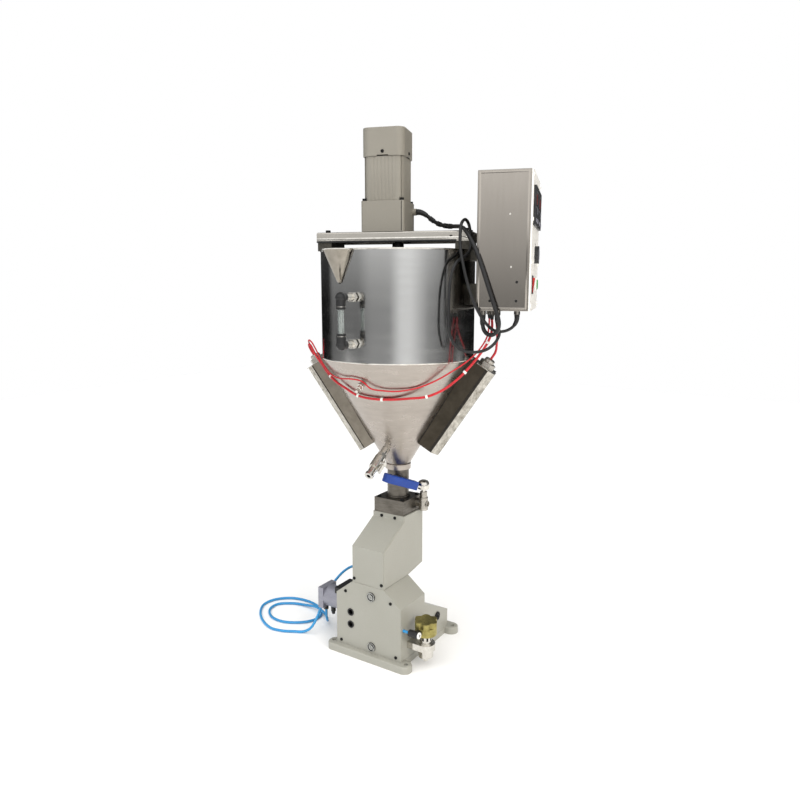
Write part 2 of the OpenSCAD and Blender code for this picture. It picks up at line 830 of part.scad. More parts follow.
module pump_block() {
    color("#8f8d89")
    difference() {
        translate([pump_x, pump_y - pump_d/2, base_t]) cube([pump_w, pump_d, pump_h]);
        translate([feed_x, pump_y, product_z]) cylinder(d = feed_bore, h = pump_top);
        translate([pump_x - over, pump_y, air_z]) along_x(chamber_r, feed_x - pump_x + over);
        translate([feed_x, pump_y, product_z]) along_x(product_bore_r, pump_w);
        translate([feed_x, pump_y, product_z]) sphere(d = feed_bore);
    }
}

module metering_cylinder() {
    color("#b5b2ac")
    translate([pump_x - metering_len, pump_y, air_z])
        difference() {
            along_x(metering_r + metering_wall, metering_len);
            translate([-over, 0, 0]) along_x(metering_r, metering_len + 2*over);
        }
}

module metering_piston() {
    color("#dcdcda") {
        translate([piston_x, pump_y, air_z]) along_x(metering_r - running_fit, piston_t);
        translate([air_piston_x, pump_y, air_z])
            along_x(air_bore/2 - running_fit, air_piston_t);
        translate([air_piston_x, pump_y, air_z])
            along_x(rod_d/2, piston_x - air_piston_x + over);
    }
}

module air_cylinder() {
    nose = 10;
    color("#8c8c96")
    translate([air_left, pump_y, air_z])
        difference() {
            union() {
                along_x(air_d/2, air_len);
                for (x = [0, air_len - 14])
                    translate([x, -air_d/2, -air_d/2]) cube([14, air_d, air_d]);
                translate([air_len, 0, 0]) along_x(air_nose_r, nose);
            }
            translate([air_end_t, 0, 0])
                along_x(air_bore/2, air_len - 2*air_end_t);
            translate([air_len - air_end_t - over, 0, 0])
                along_x(rod_d/2 + running_fit, nose + air_end_t + 2*over);
        }
}

valve_block_x = -104;
valve_block_w = 16;
valve_block_y = -98;
valve_block_d = 55;
valve_block_h = 14;
hose_fitting_r = 5.5;

module air_fittings() {
    top = air_z + air_d/2;
    under = air_z - air_d/2;
    color("#1c1c1c") {
        translate([valve_block_x, valve_block_y, top])
            cube([valve_block_w, valve_block_d, valve_block_h]);
        translate([valve_block_x + valve_block_w/2, valve_block_y + valve_block_d, top + 8])
            along_y(hose_fitting_r, 12.5);
        for (x = [-152, -131])
            translate([x, pump_y, under - 13]) cylinder(r = hose_fitting_r, h = 13);
        // exhaust silencer under the right-hand port
        translate([-131, pump_y, under - 19]) cylinder(r = 4, h = 6);
    }
}

module blue_hose() {
    color("#2a8ac8") swept_cord(hose_route, hose_r, 10);
}

module nozzle_place() {
    translate([nozzle_x, -nozzle_y, 0]) children();
}

module nozzle_bracket() {
    boss_r = nozzle_body_d/2 + 4;
    color("#c4c3bd")
    difference() {
        union() {
            translate([housing_w/2, -nozzle_y - boss_r, bracket_z])
                cube([nozzle_x - housing_w/2, 2*boss_r, bracket_h]);
            nozzle_place() translate([0, 0, bracket_z]) cylinder(r = boss_r, h = bracket_h);
            translate([pump_x + pump_w, pump_y, product_z])
                along_x(spigot_r, housing_w/2 - pump_x - pump_w + over);
        }
        nozzle_place()
            translate([0, 0, bracket_z - over])
                cylinder(d = nozzle_body_d + 2*running_fit, h = bracket_h + 2*over);
        translate([pump_x + pump_w - over, pump_y, product_z])
            along_x(product_bore_r, nozzle_x - nozzle_body_d/2 - pump_x - pump_w + 4);
    }
}

module nozzle_body() {
    color("#cdccc6")
    nozzle_place()
        difference() {
            union() {
                translate([0, 0, nozzle_body_z]) cylinder(d = nozzle_body_d, h = nozzle_body_h);
                translate([0, 0, tip_z]) cylinder(d = tip_d, h = tip_h + over);
                translate([0, 0, collar_z]) cylinder(d = collar_d, h = collar_h);
            }
            translate([0, 0, tip_z - over]) cylinder(d = tip_bore, h = tip_h + 6);
            translate([0, 0, tip_z + tip_h + 2]) cylinder(r = 6, h = nozzle_body_h - 4);
            translate([0, 0, collar_z - 3])
                cylinder(d = needle_d + 2*running_fit, h = collar_h + 3 + over);
            translate([-nozzle_body_d, pump_y + nozzle_y, product_z])
                along_x(product_bore_r, nozzle_body_d);
            for (a = [0:45:315])
                rotate([0, 0, a])
                    translate([collar_d/2 - 3, -2, collar_z + 5]) cube([6, 4, collar_h - 9]);
        }
}

module nozzle_cylinder() {
    color("#87804c")
    nozzle_place()
        difference() {
            union() {
                translate([0, 0, nozzle_air_z]) cylinder(d = nozzle_air_d, h = nozzle_air_h);
                translate([0, 0, nozzle_air_top]) cylinder(d = collar_d, h = boss_h);
            }
            translate([0, 0, needle_floor])
                cylinder(r = needle_piston_r, h = nozzle_air_h - 7);
            translate([0, 0, needle_floor]) cylinder(r = spring_well_r, h = boss_top - needle_floor - 2);
            translate([0, 0, nozzle_air_z - over])
                cylinder(d = needle_d + 2*running_fit, h = 10);
        }
}

module nozzle_knob() {
    lobe_r = knob_d/2 - 5;
    color("#8d8650")
    nozzle_place()
        translate([0, 0, nozzle_air_top + gap])
            difference() {
                union() {
                    cylinder(r = lobe_r, h = knob_h);
                    for (a = [0:60:300])
                        rotate([0, 0, a]) translate([lobe_r - 4, 0, 0]) cylinder(r = 9, h = knob_h);
                }
                translate([0, 0, -over])
                    cylinder(d = collar_d + 2*running_fit, h = boss_h + 1.5);
            }
}

elbow_z = nozzle_air_z + 10;

module nozzle_elbow() {
    front = -nozzle_y - nozzle_air_d/2;
    bend_y = front - 10;
    bend_x = nozzle_x - 4;
    tube_r = 3;
    color("#1c1c1c")
        difference() {
            union() {
                translate([bend_x, bend_y, elbow_z]) sphere(r = 7.8);
                translate([bend_x, bend_y, elbow_z]) along_y(7, 16);
                translate([bend_x - 16, bend_y, elbow_z]) along_x(7.5, 16);
            }
            nozzle_place()
                translate([0, 0, nozzle_air_z - over])
                    cylinder(d = nozzle_air_d + gap, h = nozzle_air_h + 2*over);
        }
    color("#2a8ac8")
        translate([housing_w/2, bend_y, elbow_z])
            along_x(tube_r, bend_x - 15 - housing_w/2);
}

module needle() {
    seat_z = tip_z + tip_h + 2;
    color("#dcdcda")
    nozzle_place() {
        translate([0, 0, seat_z - 10]) cylinder(r1 = 1, r2 = tip_bore/2 - 0.1, h = 10);
        translate([0, 0, seat_z]) cylinder(d = needle_d, h = needle_floor - seat_z + over);
        translate([0, 0, needle_floor + gap])
            cylinder(r = needle_piston_r - running_fit, h = needle_piston_t);
    }
}

module needle_spring() {
    low = needle_floor + gap + needle_piston_t + 0.2;
    high = boss_top - 2 - 0.2;
    turns = 4;
    steps = 14*turns;
    rise = high - low - 2*spring_wire;
    helix = [for (i = [0:steps])
        let (a = 360*turns*i/steps)
        [spring_mean_r*cos(a), spring_mean_r*sin(a), low + spring_wire + rise*i/steps]];
    color("#bdbdbd")
    nozzle_place() swept_cord(helix, spring_wire, 6);
}

// Wall of a cone and cylinder in one profile, open at both ends
function jacket_profile() =
    [[cone_foot_r, cone_z], [hopper_r, shoulder_z], [hopper_r, rim_z - skin],
        [hopper_r - skin, rim_z - skin],
        [hopper_r - skin, shoulder_z + (skin_run - skin)*cone_h/cone_run],
        [cone_foot_r - skin_run, cone_z]];

module pocket_place() {
    rotate([0, 0, -pocket_turn]) translate([0, -hopper_r, rim_z]) children();
}

// The filling pocket as a tapered scoop, drawn in by a wall thickness
module pocket_cone(t) {
    translate([0, 0, -pocket_h + t])
        cylinder(r1 = 5 - t/2, r2 = pocket_r - t, h = pocket_h - t + (t > 0 ? over : 0));
}

module fittings_place() {
    rotate([0, 0, -fittings_turn]) children();
}

nipple_r = 6;
probe_r = 5;
probe_len = 25;
probe_height = neck_z + probe_z;
drain_height = neck_z + drain_z;
drain_r = 8;

// Frame on the cone at the temperature probe: +Z points out of the cone
module probe_place() {
    fittings_place()
        translate([0, -cone_r(probe_height), probe_height])
            rotate([90 + cone_lean, 0, 0]) children();
}

// Frame at the drain's root: +Z points along the drain
drain_fall = 33;
module drain_place() {
    fittings_place()
        translate([0, -cone_r(drain_height), drain_height])
            rotate([90 + drain_fall, 0, 0]) children();
}

module hopper_jacket() {
    color("#b9b7b2")
    hopper_place() {
        difference() {
            rotate_extrude($fn = 128) polygon(jacket_profile());
            pocket_place() pocket_cone(skin);
            fittings_place()
                for (z = [gauge_low, gauge_high])
                    translate([0, -hopper_r - over, shoulder_z + z]) along_y(nipple_r + gap, 20);
            probe_place() translate([0, 0, -20]) cylinder(r = probe_r + gap, h = 30);
            drain_place() translate([0, 0, -16]) cylinder(r = drain_r + gap, h = 30);
        }
        // collar at the foot of the cone
        difference() {
            translate([0, 0, neck_z]) cylinder(r = cone_foot_r + 2, h = neck_h);
            translate([0, 0, neck_z - over])
                cylinder(r = liner_neck_r + gap, h = neck_h + 2*over);
        }
    }
}

module hopper_liner() {
    // heights where the liner's cone meets its wall and its neck
    foot_z = cone_z + (liner_neck_r + liner_run - cone_foot_r)*cone_h/cone_run;
    wall_z = cone_z + (liner_r + liner_run - cone_foot_r)*cone_h/cone_run;
    inner_foot_z = foot_z - (skin - skin_run)*cone_h/cone_run;
    inner_wall_z = wall_z - (skin - skin_run)*cone_h/cone_run;
    profile = [[liner_neck_r - skin, neck_z], [liner_neck_r, neck_z], [liner_neck_r, foot_z],
        [liner_r, wall_z], [liner_r, rim_z - skin], [hopper_r, rim_z - skin], [hopper_r, rim_z],
        [liner_r - skin, rim_z], [liner_r - skin, inner_wall_z], [liner_neck_r - skin, inner_foot_z]];
    color("#c6c4bf")
    hopper_place() rotate_extrude($fn = 128) polygon(profile);
}

module fill_pocket() {
    color("#b9b7b2")
    hopper_place()
        difference() {
            pocket_place() pocket_cone(0);
            pocket_place() pocket_cone(skin);
            translate([0, 0, shoulder_z]) cylinder(r = hopper_r + gap/2, h = hopper_h + 2*over, $fn = 128);
        }
}

module each_heater() {
    for (side = [0, 1])
        rotate([0, 0, 180*side])
            translate([heater_x - side*left_heater_in, 0, neck_z + heater_z])
                rotate([0, heater_lean, 0]) children();
}

// Space the hopper takes, with a small gap
module hopper_space() {
    translate([0, 0, cone_z])
        cylinder(r1 = cone_foot_r + gap, r2 = hopper_r + gap, h = cone_h, $fn = 128);
    translate([0, 0, shoulder_z - 0.01]) cylinder(r = hopper_r + gap, h = hopper_h, $fn = 128);
    translate([0, 0, neck_z]) cylinder(r = cone_foot_r + 2 + gap, h = neck_h);
}

// Outline of a heater box across its axis, drawn in by a wall thickness
function heater_outline(t) =
    [[-heater_depth - 12, -heater_w/2 + t], [heater_depth - 15, -heater_w/2 + t],
        [heater_depth - t, -heater_w/2 + 14], [heater_depth - t, heater_w/2 - 14],
        [heater_depth - 15, heater_w/2 - t], [-heater_depth - 12, heater_w/2 - t]];

module heater_boxes() {
    color("#a5a198")
    hopper_place()
        difference() {
            each_heater() linear_extrude(heater_len) polygon(heater_outline(0));
            each_heater()
                translate([0, 0, heater_wall])
                    linear_extrude(heater_len - 2*heater_wall) polygon(heater_outline(heater_wall));
            each_heater()
                translate([0, 0, heater_len - heater_wall - over])
                    cylinder(d = heater_rod_d + 2*gap, h = heater_wall + 2*over);
            hopper_space();
        }
}

module heaters() {
    color("#8e8a80")
    hopper_place()
        each_heater() {
            translate([0, 0, heater_len]) cylinder(r = heater_head_r, h = heater_head_h, $fn = 6);
            translate([0, 0, heater_len + heater_head_h])
                cylinder(r = heater_cap_r, h = heater_cap_h);
            translate([0, 0, 30]) cylinder(d = heater_rod_d, h = heater_len - 30 + over);
        }
}

module temperature_probe() {
    color("#a8a6a0")
    hopper_place()
        probe_place() {
            translate([0, 0, -12]) cylinder(r = probe_r - 1, h = 14);
            cylinder(r = probe_r, h = probe_len - 9);
            translate([0, 0, 4]) cylinder(r = probe_r + 2.5, h = 5, $fn = 6);
            translate([0, 0, probe_len - 10]) cylinder(r = probe_r - 1.5, h = 10);
        }
}

drain_len = 80;
drain_bore_r = 4.5;
drain_ball_r = 7;
drain_ball_z = 42;
drain_stem_r = 3;

module drain_body() {
    color("#b0ada6")
    hopper_place()
        drain_place()
            difference() {
                union() {
                    translate([0, 0, -8]) cylinder(r = drain_r, h = drain_len + 8);
                    translate([0, 0, drain_ball_z - 15]) cylinder(r = 11.5, h = 30);
                    translate([0, 0, drain_ball_z - 24]) cylinder(r = 11, h = 7, $fn = 6);
                    translate([0, 0, drain_len - 7]) cylinder(r = 9.5, h = 7);
                    translate([0, 0, drain_ball_z]) along_x(5.5, 14);
                }
                translate([0, 0, -10]) cylinder(r = drain_bore_r, h = drain_len + 20);
                translate([0, 0, drain_ball_z]) sphere(r = drain_ball_r + running_fit);
                translate([0, 0, drain_ball_z]) along_x(drain_stem_r + running_fit, 20);
            }
}

module drain_plug() {
    color("#c9c7c1")
    hopper_place()
        drain_place()
            translate([0, 0, drain_ball_z]) {
                difference() {
                    sphere(r = drain_ball_r);
                    translate([0, 0, -10]) cylinder(r = drain_bore_r, h = 20);
                }
                translate([drain_ball_r - 2, 0, 0]) along_x(drain_stem_r, 17 - drain_ball_r);
                translate([14 + gap, 0, 0]) along_x(5, 6);
                translate([15 + gap, -4, -4]) cube([4, 8, 28]);
            }
}

nipple_end = hopper_r + nipple_len;

module gauge_fittings() {
    color("#8c8a86")
    hopper_place()
        fittings_place()
            for (level = [[gauge_low, 1], [gauge_high, -1]]) {
                z = shoulder_z + level[0];
                // nipple with its hexagon
                translate([0, -nipple_end, z]) along_y(nipple_r, nipple_len + 4);
                translate([0, -hopper_r - 12, z])
                    rotate([-90, 0, 0]) cylinder(r = nipple_r + 4, h = 9, $fn = 6);
                // elbow
                translate([0, -nipple_end, z]) sphere(r = 10);
                translate([0, -nipple_end, z]) along_y(9, 12);
                difference() {
                    translate([0, -nipple_end, level[1] > 0 ? z : z - 22]) cylinder(r = 9, h = 22);
                    translate([0, -nipple_end, level[1] > 0 ? z + 12 : z - 32])
                        cylinder(d = sight_d + 2*gap, h = 20);
                }
            }
}

module sight_tube() {
    low = shoulder_z + gauge_low + 12 + gap;
    high = shoulder_z + gauge_high - 12 - gap;
    color("#d8e4e6")
    hopper_place()
        fittings_place()
            translate([0, -nipple_end, low])
                difference() {
                    cylinder(d = sight_d, h = high - low);
                    translate([0, 0, -over]) cylinder(d = sight_d - 3, h = high - low + 2*over);
                }
}

bridge_left = -162;
bridge_right = 158;
bridge_t = 3;
ear_len = 30;
ear_in = 1;
lock_hole_x = 119;

module ear_bolt_places() {
    for (x = [bridge_left + 20, bridge_right - 12], y = [-1, 1])
        translate([x, y*30, bridge_top]) children();
}

// Place of the gearmotor, whose case is off its own output shaft
module motor_place() {
    translate([-gear_centres, 0, 0]) children();
}

module gearbox_bolt_places() {
    for (x = [-1, 1], y = [-1, 1])
        translate([x*(gearbox_w/2 - 6), y*(gearbox_w/2 - 6), 0]) children();
}

module bridge_beam() {
    color("#b3b0a9")
    hopper_place()
        difference() {
            translate([bridge_left, -bridge_w/2, bridge_z])
                cube([bridge_right - bridge_left, bridge_w, bridge_h]);
            translate([bridge_left - over, -bridge_w/2 + bridge_t, bridge_z - over])
                cube([bridge_right - bridge_left + 2*over, bridge_w - 2*bridge_t,
                    bridge_h - bridge_t + over]);
            translate([0, 0, bridge_z]) cylinder(r = coupling_r + 3, h = bridge_h + over);
            ear_bolt_places() translate([0, 0, -bridge_h]) cylinder(r = 3.3, h = bridge_h + over);
            motor_place() gearbox_bolt_places()
                translate([0, 0, bridge_z]) cylinder(r = 2.7, h = bridge_h + over);
            translate([lock_hole_x, -bridge_w/2 - over, bridge_z + 9]) along_y(3, bridge_t + 2*over);
        }
}

module bridge_ears() {
    ear_h = bridge_top - bridge_t - rim_z;
    color("#6f6c66")
    hopper_place()
        difference() {
            for (x = [bridge_left + ear_in, bridge_right - ear_in - ear_len])
                translate([x, -bridge_w/2 + bridge_t + gap, rim_z])
                    cube([ear_len, bridge_w - 2*bridge_t - 2*gap, ear_h]);
            ear_bolt_places() translate([0, 0, -40]) cylinder(r = 3.3, h = 45);
        }
}

// Cap screw pointing down from its head
module cap_screw(r, head, shank) {
    difference() {
        union() {
            cylinder(r = 1.7*r, h = head);
            translate([0, 0, -shank]) cylinder(r = r, h = shank + over);
        }
        translate([0, 0, head*0.4]) cylinder(r = 0.9*r, h = head, $fn = 6);
    }
}

module bridge_bolts() {
    color("#1c1c1c")
    hopper_place() {
        ear_bolt_places() cap_screw(3, 5, 30);
        motor_place() gearbox_bolt_places()
            translate([0, 0, gearbox_top]) cap_screw(2.5, 5, gearbox_h + bridge_t + 8);
    }
}

shaft_hub_z = bridge_z - 10;

module agitator() {
    wall_x = liner_r - skin - blade_gap;
    top_z = rim_z - 50;
    corner_z = shoulder_z + 14;
    foot_x = 24;
    foot_z = cone_z + 70;
    arm_w = 12;
    arm_in = agitator_d/4;
    lean_x = wall_x - blade_w/2 - 8 - foot_x;
    lean_z = corner_z - foot_z;
    lean_len = sqrt(lean_x*lean_x + lean_z*lean_z);
    color("#d2d0cb")
    hopper_place() {
        translate([0, 0, shaft_foot_z]) cylinder(d = agitator_d, h = shaft_hub_z - shaft_foot_z - gap);
        for (side = [0, 180])
            rotate([0, 0, side])
                translate([0, blade_t/2, 0])
                    rotate([90, 0, 0])
                        linear_extrude(blade_t) {
                            // upright scraper by the wall
                            translate([wall_x - blade_w, corner_z]) square([blade_w, top_z - corner_z]);
                            // arms
                            for (z = [corner_z + 6, top_z - 14])
                                translate([arm_in, z]) square([wall_x - 2 - arm_in, arm_w]);
                            // leaning scraper along the cone
                            translate([foot_x, foot_z])
                                rotate(-atan(lean_x/lean_z))
                                    translate([-blade_w/2, 0]) square([blade_w, lean_len]);
                            translate([arm_in, foot_z + 4]) square([foot_x + 4 - arm_in, arm_w]);
                        }
    }
}

// Plain spur gear with straight-sided teeth
module spur_gear(teeth, height) {
    pitch_r = gear_module*teeth/2;
    tip_r = pitch_r + 0.8*gear_module;
    root_r = pitch_r - 1.15*gear_module;
    step = 360/teeth;
    linear_extrude(height)
        polygon([for (i = [0:teeth - 1], k = [0:3])
            let (r = (k == 0 || k == 3) ? root_r : tip_r,
                a = i*step + step*[-0.32, -0.12, 0.12, 0.32][k])
            [r*cos(a), r*sin(a)]]);
}

module output_shaft() {
    color("#5b5a58")
    hopper_place()
        difference() {
            union() {
                translate([0, 0, shaft_hub_z - coupling_h + 10]) cylinder(r = coupling_r, h = coupling_h);
                translate([0, 0, shaft_hub_z + 10])
                    cylinder(r = output_shaft_r, h = output_gear_z - shaft_hub_z - 10);
                translate([0, 0, output_gear_z]) spur_gear(wheel_teeth, gear_t);
                translate([0, 0, output_gear_z]) cylinder(r = output_shaft_r, h = gear_t + 5);
            }
            translate([0, 0, shaft_hub_z - coupling_h])
                cylinder(d = agitator_d + 2*running_fit, h = coupling_h);
        }
}

module idler_gear() {
    low = bridge_top + case_floor - 3;
    high = gearbox_top - case_floor + 3;
    color("#8a8a8a")
    hopper_place()
        translate([-gear_centres/2, idler_y, 0]) {
            translate([0, 0, low]) cylinder(r = idler_shaft_r, h = high - low);
            translate([0, 0, output_gear_z])
                rotate([0, 0, 180/pinion_teeth]) spur_gear(pinion_teeth, gear_t + 6);
            translate([0, 0, idler_gear_z]) spur_gear(wheel_teeth, gear_t);
            translate([0, 0, output_gear_z + gear_t + 6])
                cylinder(r = 5, h = idler_gear_z - output_gear_z - gear_t - 6);
        }
}

rotor_core_r = 25;
rotor_low = gearbox_top + 16;
rotor_high = motor_top - 12;
fan_z = motor_top + 12;
fan_r = 34;

module rotor() {
    top = cap_top - 5;
    color("#77756f")
    hopper_place() motor_place() {
        translate([0, 0, idler_gear_z])
            rotate([0, 0, 180/pinion_teeth]) spur_gear(pinion_teeth, gear_t + over);
        translate([0, 0, idler_gear_z + gear_t + over])
            cylinder(r = motor_shaft_r, h = top - idler_gear_z - gear_t - over);
        translate([0, 0, rotor_low]) cylinder(r = rotor_core_r, h = rotor_high - rotor_low);
        translate([0, 0, fan_z]) cylinder(r = 12, h = 14);
        for (a = [0:60:300])
            rotate([0, 0, a]) translate([10, -1, fan_z]) cube([fan_r - 10, 2, 14]);
    }
}

module gearbox_case() {
    cavity = gearbox_w - 2*case_wall;
    color("#97938a")
    hopper_place() motor_place()
        difference() {
            union() {
                translate([0, 0, bridge_top]) rounded_bar(gearbox_w, 5, gearbox_h);
                // gland of the motor lead
                translate([gearbox_w/2 - over, 30, bridge_top + 43.5]) along_x(7, gland_h + over);
            }
            for (size = [[cavity, cavity - 30], [cavity - 30, cavity], [cavity - 16, cavity - 16]])
                translate([-size[0]/2, -size[1]/2, bridge_top + case_floor])
                    cube([size[0], size[1], gearbox_h - 2*case_floor]);
            translate([gear_centres, 0, bridge_top - over])
                cylinder(r = output_shaft_r + running_fit, h = case_floor + 2*over);
            translate([gear_centres/2, idler_y, bridge_top + case_floor - 3 - gap])
                cylinder(r = idler_shaft_r + running_fit, h = gearbox_h - 2*case_floor + 6 + 2*gap);
            translate([0, 0, gearbox_top - case_floor - over])
                cylinder(r = motor_shaft_r + running_fit, h = case_floor + 2*over);
            gearbox_bolt_places()
                translate([0, 0, bridge_top - over]) cylinder(r = 2.7, h = gearbox_h + 2*over);
        }
}

module motor_body() {
    groove = 4;
    color("#8d8981")
    hopper_place() motor_place()
        difference() {
            translate([0, 0, gearbox_top]) rounded_bar(motor_w, 14, motor_h);
            translate([0, 0, gearbox_top + 10]) cylinder(r = rotor_core_r + 1, h = motor_h + over);
            translate([0, 0, gearbox_top - over])
                cylinder(r = motor_shaft_r + 2, h = 12);
            for (a = [45:90:315])
                rotate([0, 0, a])
                    translate([motor_w*0.5*sqrt(2) - 8, -groove/2, gearbox_top - over])
                        cube([10, groove, motor_h + 2*over]);
            gearbox_bolt_places() translate([0, 0, gearbox_top - over]) cylinder(r = 5.5, h = 8);
        }
}

module motor_cap() {
    cap_wall = 3;
    color("#96928a")
    hopper_place() motor_place()
        difference() {
            translate([0, 0, motor_top]) rounded_bar(cap_w, 16, cap_h);
            translate([0, 0, motor_top - over]) rounded_bar(cap_w - 2*cap_wall, 13, cap_h - 8);
            // bearing of the motor shaft
            translate([0, 0, cap_top - 12]) cylinder(r = motor_shaft_r + running_fit, h = 7 + gap);
            // opening for air under the cap
            for (a = [0, 90, 180, 270])
                rotate([0, 0, a]) translate([cap_w/2 - 6, -12, motor_top - over]) cube([10, 24, 3]);
        }
}

module control_box() {
    color("#a09c92")
    hopper_place() {
        difference() {
            translate([box_x, -box_d/2, box_z]) cube([box_w, box_d, box_h]);
            translate([box_x + box_t, -box_d/2 + box_t, box_z + box_t])
                cube([box_w, box_d - 2*box_t, box_h - 2*box_t]);
            // blank fixing holes in the side that faces the front
            for (place = [[76.5, 54], [76, 19], [26.5, 19]])
                translate([box_x + place[0], -box_d/2 - over, box_z + place[1]])
                    along_y(2.5, box_t + 2*over);
        }
        for (place = box_glands)
            translate([place[0], place[1], box_z - gland_h]) cylinder(d = gland_d, h = gland_h);
        // folded lips that the panel screws into
        for (y = [-1, 1])
            translate([panel_x - 2, y*(box_d/2 - box_t - 6) - 6, box_z + box_t])
                cube([2, 12, box_h - 2*box_t]);
    }
}

bracket_zs = [[-21, 20], [-107, 41]];

module box_brackets() {
    color("#3a3936")
    hopper_place()
        difference() {
            for (b = bracket_zs)
                translate([hopper_r - 8, -35, rim_z + b[0]]) cube([box_x - hopper_r + 8, 70, b[1]]);
            for (b = bracket_zs)
                translate([hopper_r - 9, -32, rim_z + b[0] + 3]) cube([box_gap + 20, 64, b[1] - 6]);
            translate([0, 0, shoulder_z]) cylinder(r = hopper_r + gap/2, h = hopper_h + over, $fn = 128);
        }
}

module panel_screw_places() {
    for (y = [-1, 1], k = [0:3])
        translate([panel_face, y*panel_screw_y, box_z + 10 + k*(box_h - 20)/3])
            rotate([0, 90, 0]) children();
}

// Frame on the panel: X to the right seen from outside, Y up, +Z out of the panel
module panel_frame() {
    translate([panel_face, 0, box_mid_z]) rotate([90, 0, 90]) children();
}

module control_panel() {
    color("#e4e2da")
    hopper_place() {
        difference() {
            translate([panel_x, -box_d/2, box_z]) cube([panel_t, box_d, box_h]);
            panel_frame() {
                for (x = [-1, 1])
                    translate([x*controller_y - 33, controller_z - 33, -panel_t - over])
                        cube([66, 66, panel_t + 2*over]);
                translate([0, dial_z, -panel_t - over]) cylinder(r = 5, h = panel_t + 2*over);
                translate([switch_y - switch_w/2, switch_z - switch_h/2, -panel_t - over])
                    cube([switch_w, switch_h, panel_t + 2*over]);
                translate([button_y, switch_z, -panel_t - over])
                    cylinder(r = button_r + gap, h = panel_t + 2*over);
            }
        }
        // panel screws
        panel_screw_places() cylinder(r = 3.5, h = 2);
        // raised ring around the fill button
        panel_frame()
            translate([button_y, switch_z, 0])
                difference() {
                    cylinder(r = button_r + 3, h = 2);
                    translate([0, 0, -over]) cylinder(r = button_r + gap, h = 4);
                }
    }
}

module temperature_controllers() {
    color("#26282a")
    hopper_place()
        panel_frame()
            for (x = [-1, 1])
                translate([x*controller_y, controller_z, 0])
                    difference() {
                        union() {
                            translate([-controller_w/2, -controller_w/2, 0])
                                cube([controller_w, controller_w, controller_proud]);
                            translate([-32.5, -32.5, -60]) cube([65, 65, 60 + over]);
                        }
                        // recessed display window
                        translate([-28, 0, controller_proud - 1.5]) cube([56, 26, 2]);
                    }
}

module speed_dial() {
    color("#202020")
    hopper_place()
        panel_frame()
            translate([0, dial_z, 0]) {
                translate([0, 0, gap])
                    difference() {
                        cylinder(r = dial_r, h = dial_h - gap);
                        translate([-1, dial_r - 9, dial_h - 1.5]) cube([2, 10, 3]);
                    }
                translate([0, 0, -18]) cylinder(r = 5 - running_fit, h = 19);
            }
}

rock = 7;

module power_switch() {
    color("#c22a20")
    hopper_place()
        panel_frame()
            translate([switch_y, switch_z, 0])
                difference() {
                    union() {
                        rotate([rock, 0, 0])
                            translate([-switch_w/2 + 1, -switch_h/2 + 1.5, -3])
                                cube([switch_w - 2, switch_h - 3, 6.5]);
                        rotate([0, 90, 0]) translate([0, 0, -switch_w/2 + gap])
                            cylinder(r = 2, h = switch_w - 2*gap);
                    }
                    translate([-30, -30, -30]) cube([60, 60, 26]);
                }
}

module fill_button() {
    color("#3c9a48")
    hopper_place()
        panel_frame()
            translate([button_y, switch_z, 0]) {
                translate([0, 0, -8]) cylinder(r = button_r, h = 8 + button_proud);
            }
}

module motor_lead() {
    color("#161616") hopper_place() swept_cord(motor_lead_route, motor_lead_r, 10);
}

module power_lead() {
    color("#1a1a1a") hopper_place() swept_cord(power_lead_route, power_lead_r, 10);
}

module heater_lead_left() {
    color("#c02030") hopper_place() swept_cord(heater_lead_left_route, heater_lead_r, 10);
}

module heater_lead_right() {
    color("#c02030") hopper_place() swept_cord(heater_lead_right_route, heater_lead_r, 10);
}

module probe_lead() {
    color("#8a2028") hopper_place() swept_cord(probe_lead_route, probe_lead_r, 8);
}

base_plate();
housing_shell();
front_plate();
column_casing();
column_cover();
rear_box();
socket_screws();
ring_bolts();
manifold_block();
outlet_tube();
cock_body();
cock_plug();
cock_lever();
cock_grip();
feed_pipe();
pump_block();
metering_cylinder();
metering_piston();
air_cylinder();
air_fittings();
blue_hose();
nozzle_bracket();
nozzle_body();
nozzle_cylinder();
nozzle_knob();
nozzle_elbow();
needle();
needle_spring();
hopper_jacket();
hopper_liner();
fill_pocket();
heater_boxes();
heaters();
temperature_probe();
drain_body();
drain_plug();
gauge_fittings();
sight_tube();
bridge_beam();
bridge_ears();
bridge_bolts();
agitator();
output_shaft();
idler_gear();
rotor();
gearbox_case();
motor_body();
motor_cap();
control_box();
box_brackets();
control_panel();
temperature_controllers();
speed_dial();
power_switch();
fill_button();
motor_lead();
power_lead();
heater_lead_left();
heater_lead_right();
probe_lead();
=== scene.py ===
# Heated single-hopper lipstick filling machine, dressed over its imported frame.
# Metres, +Z up, front towards -Y. The hopper's own frame is turned about +Z.
# Places and sizes of pieces are given in millimetres, and cord lines in metres.
import json
import math

import bpy
from mathutils import Matrix, Vector


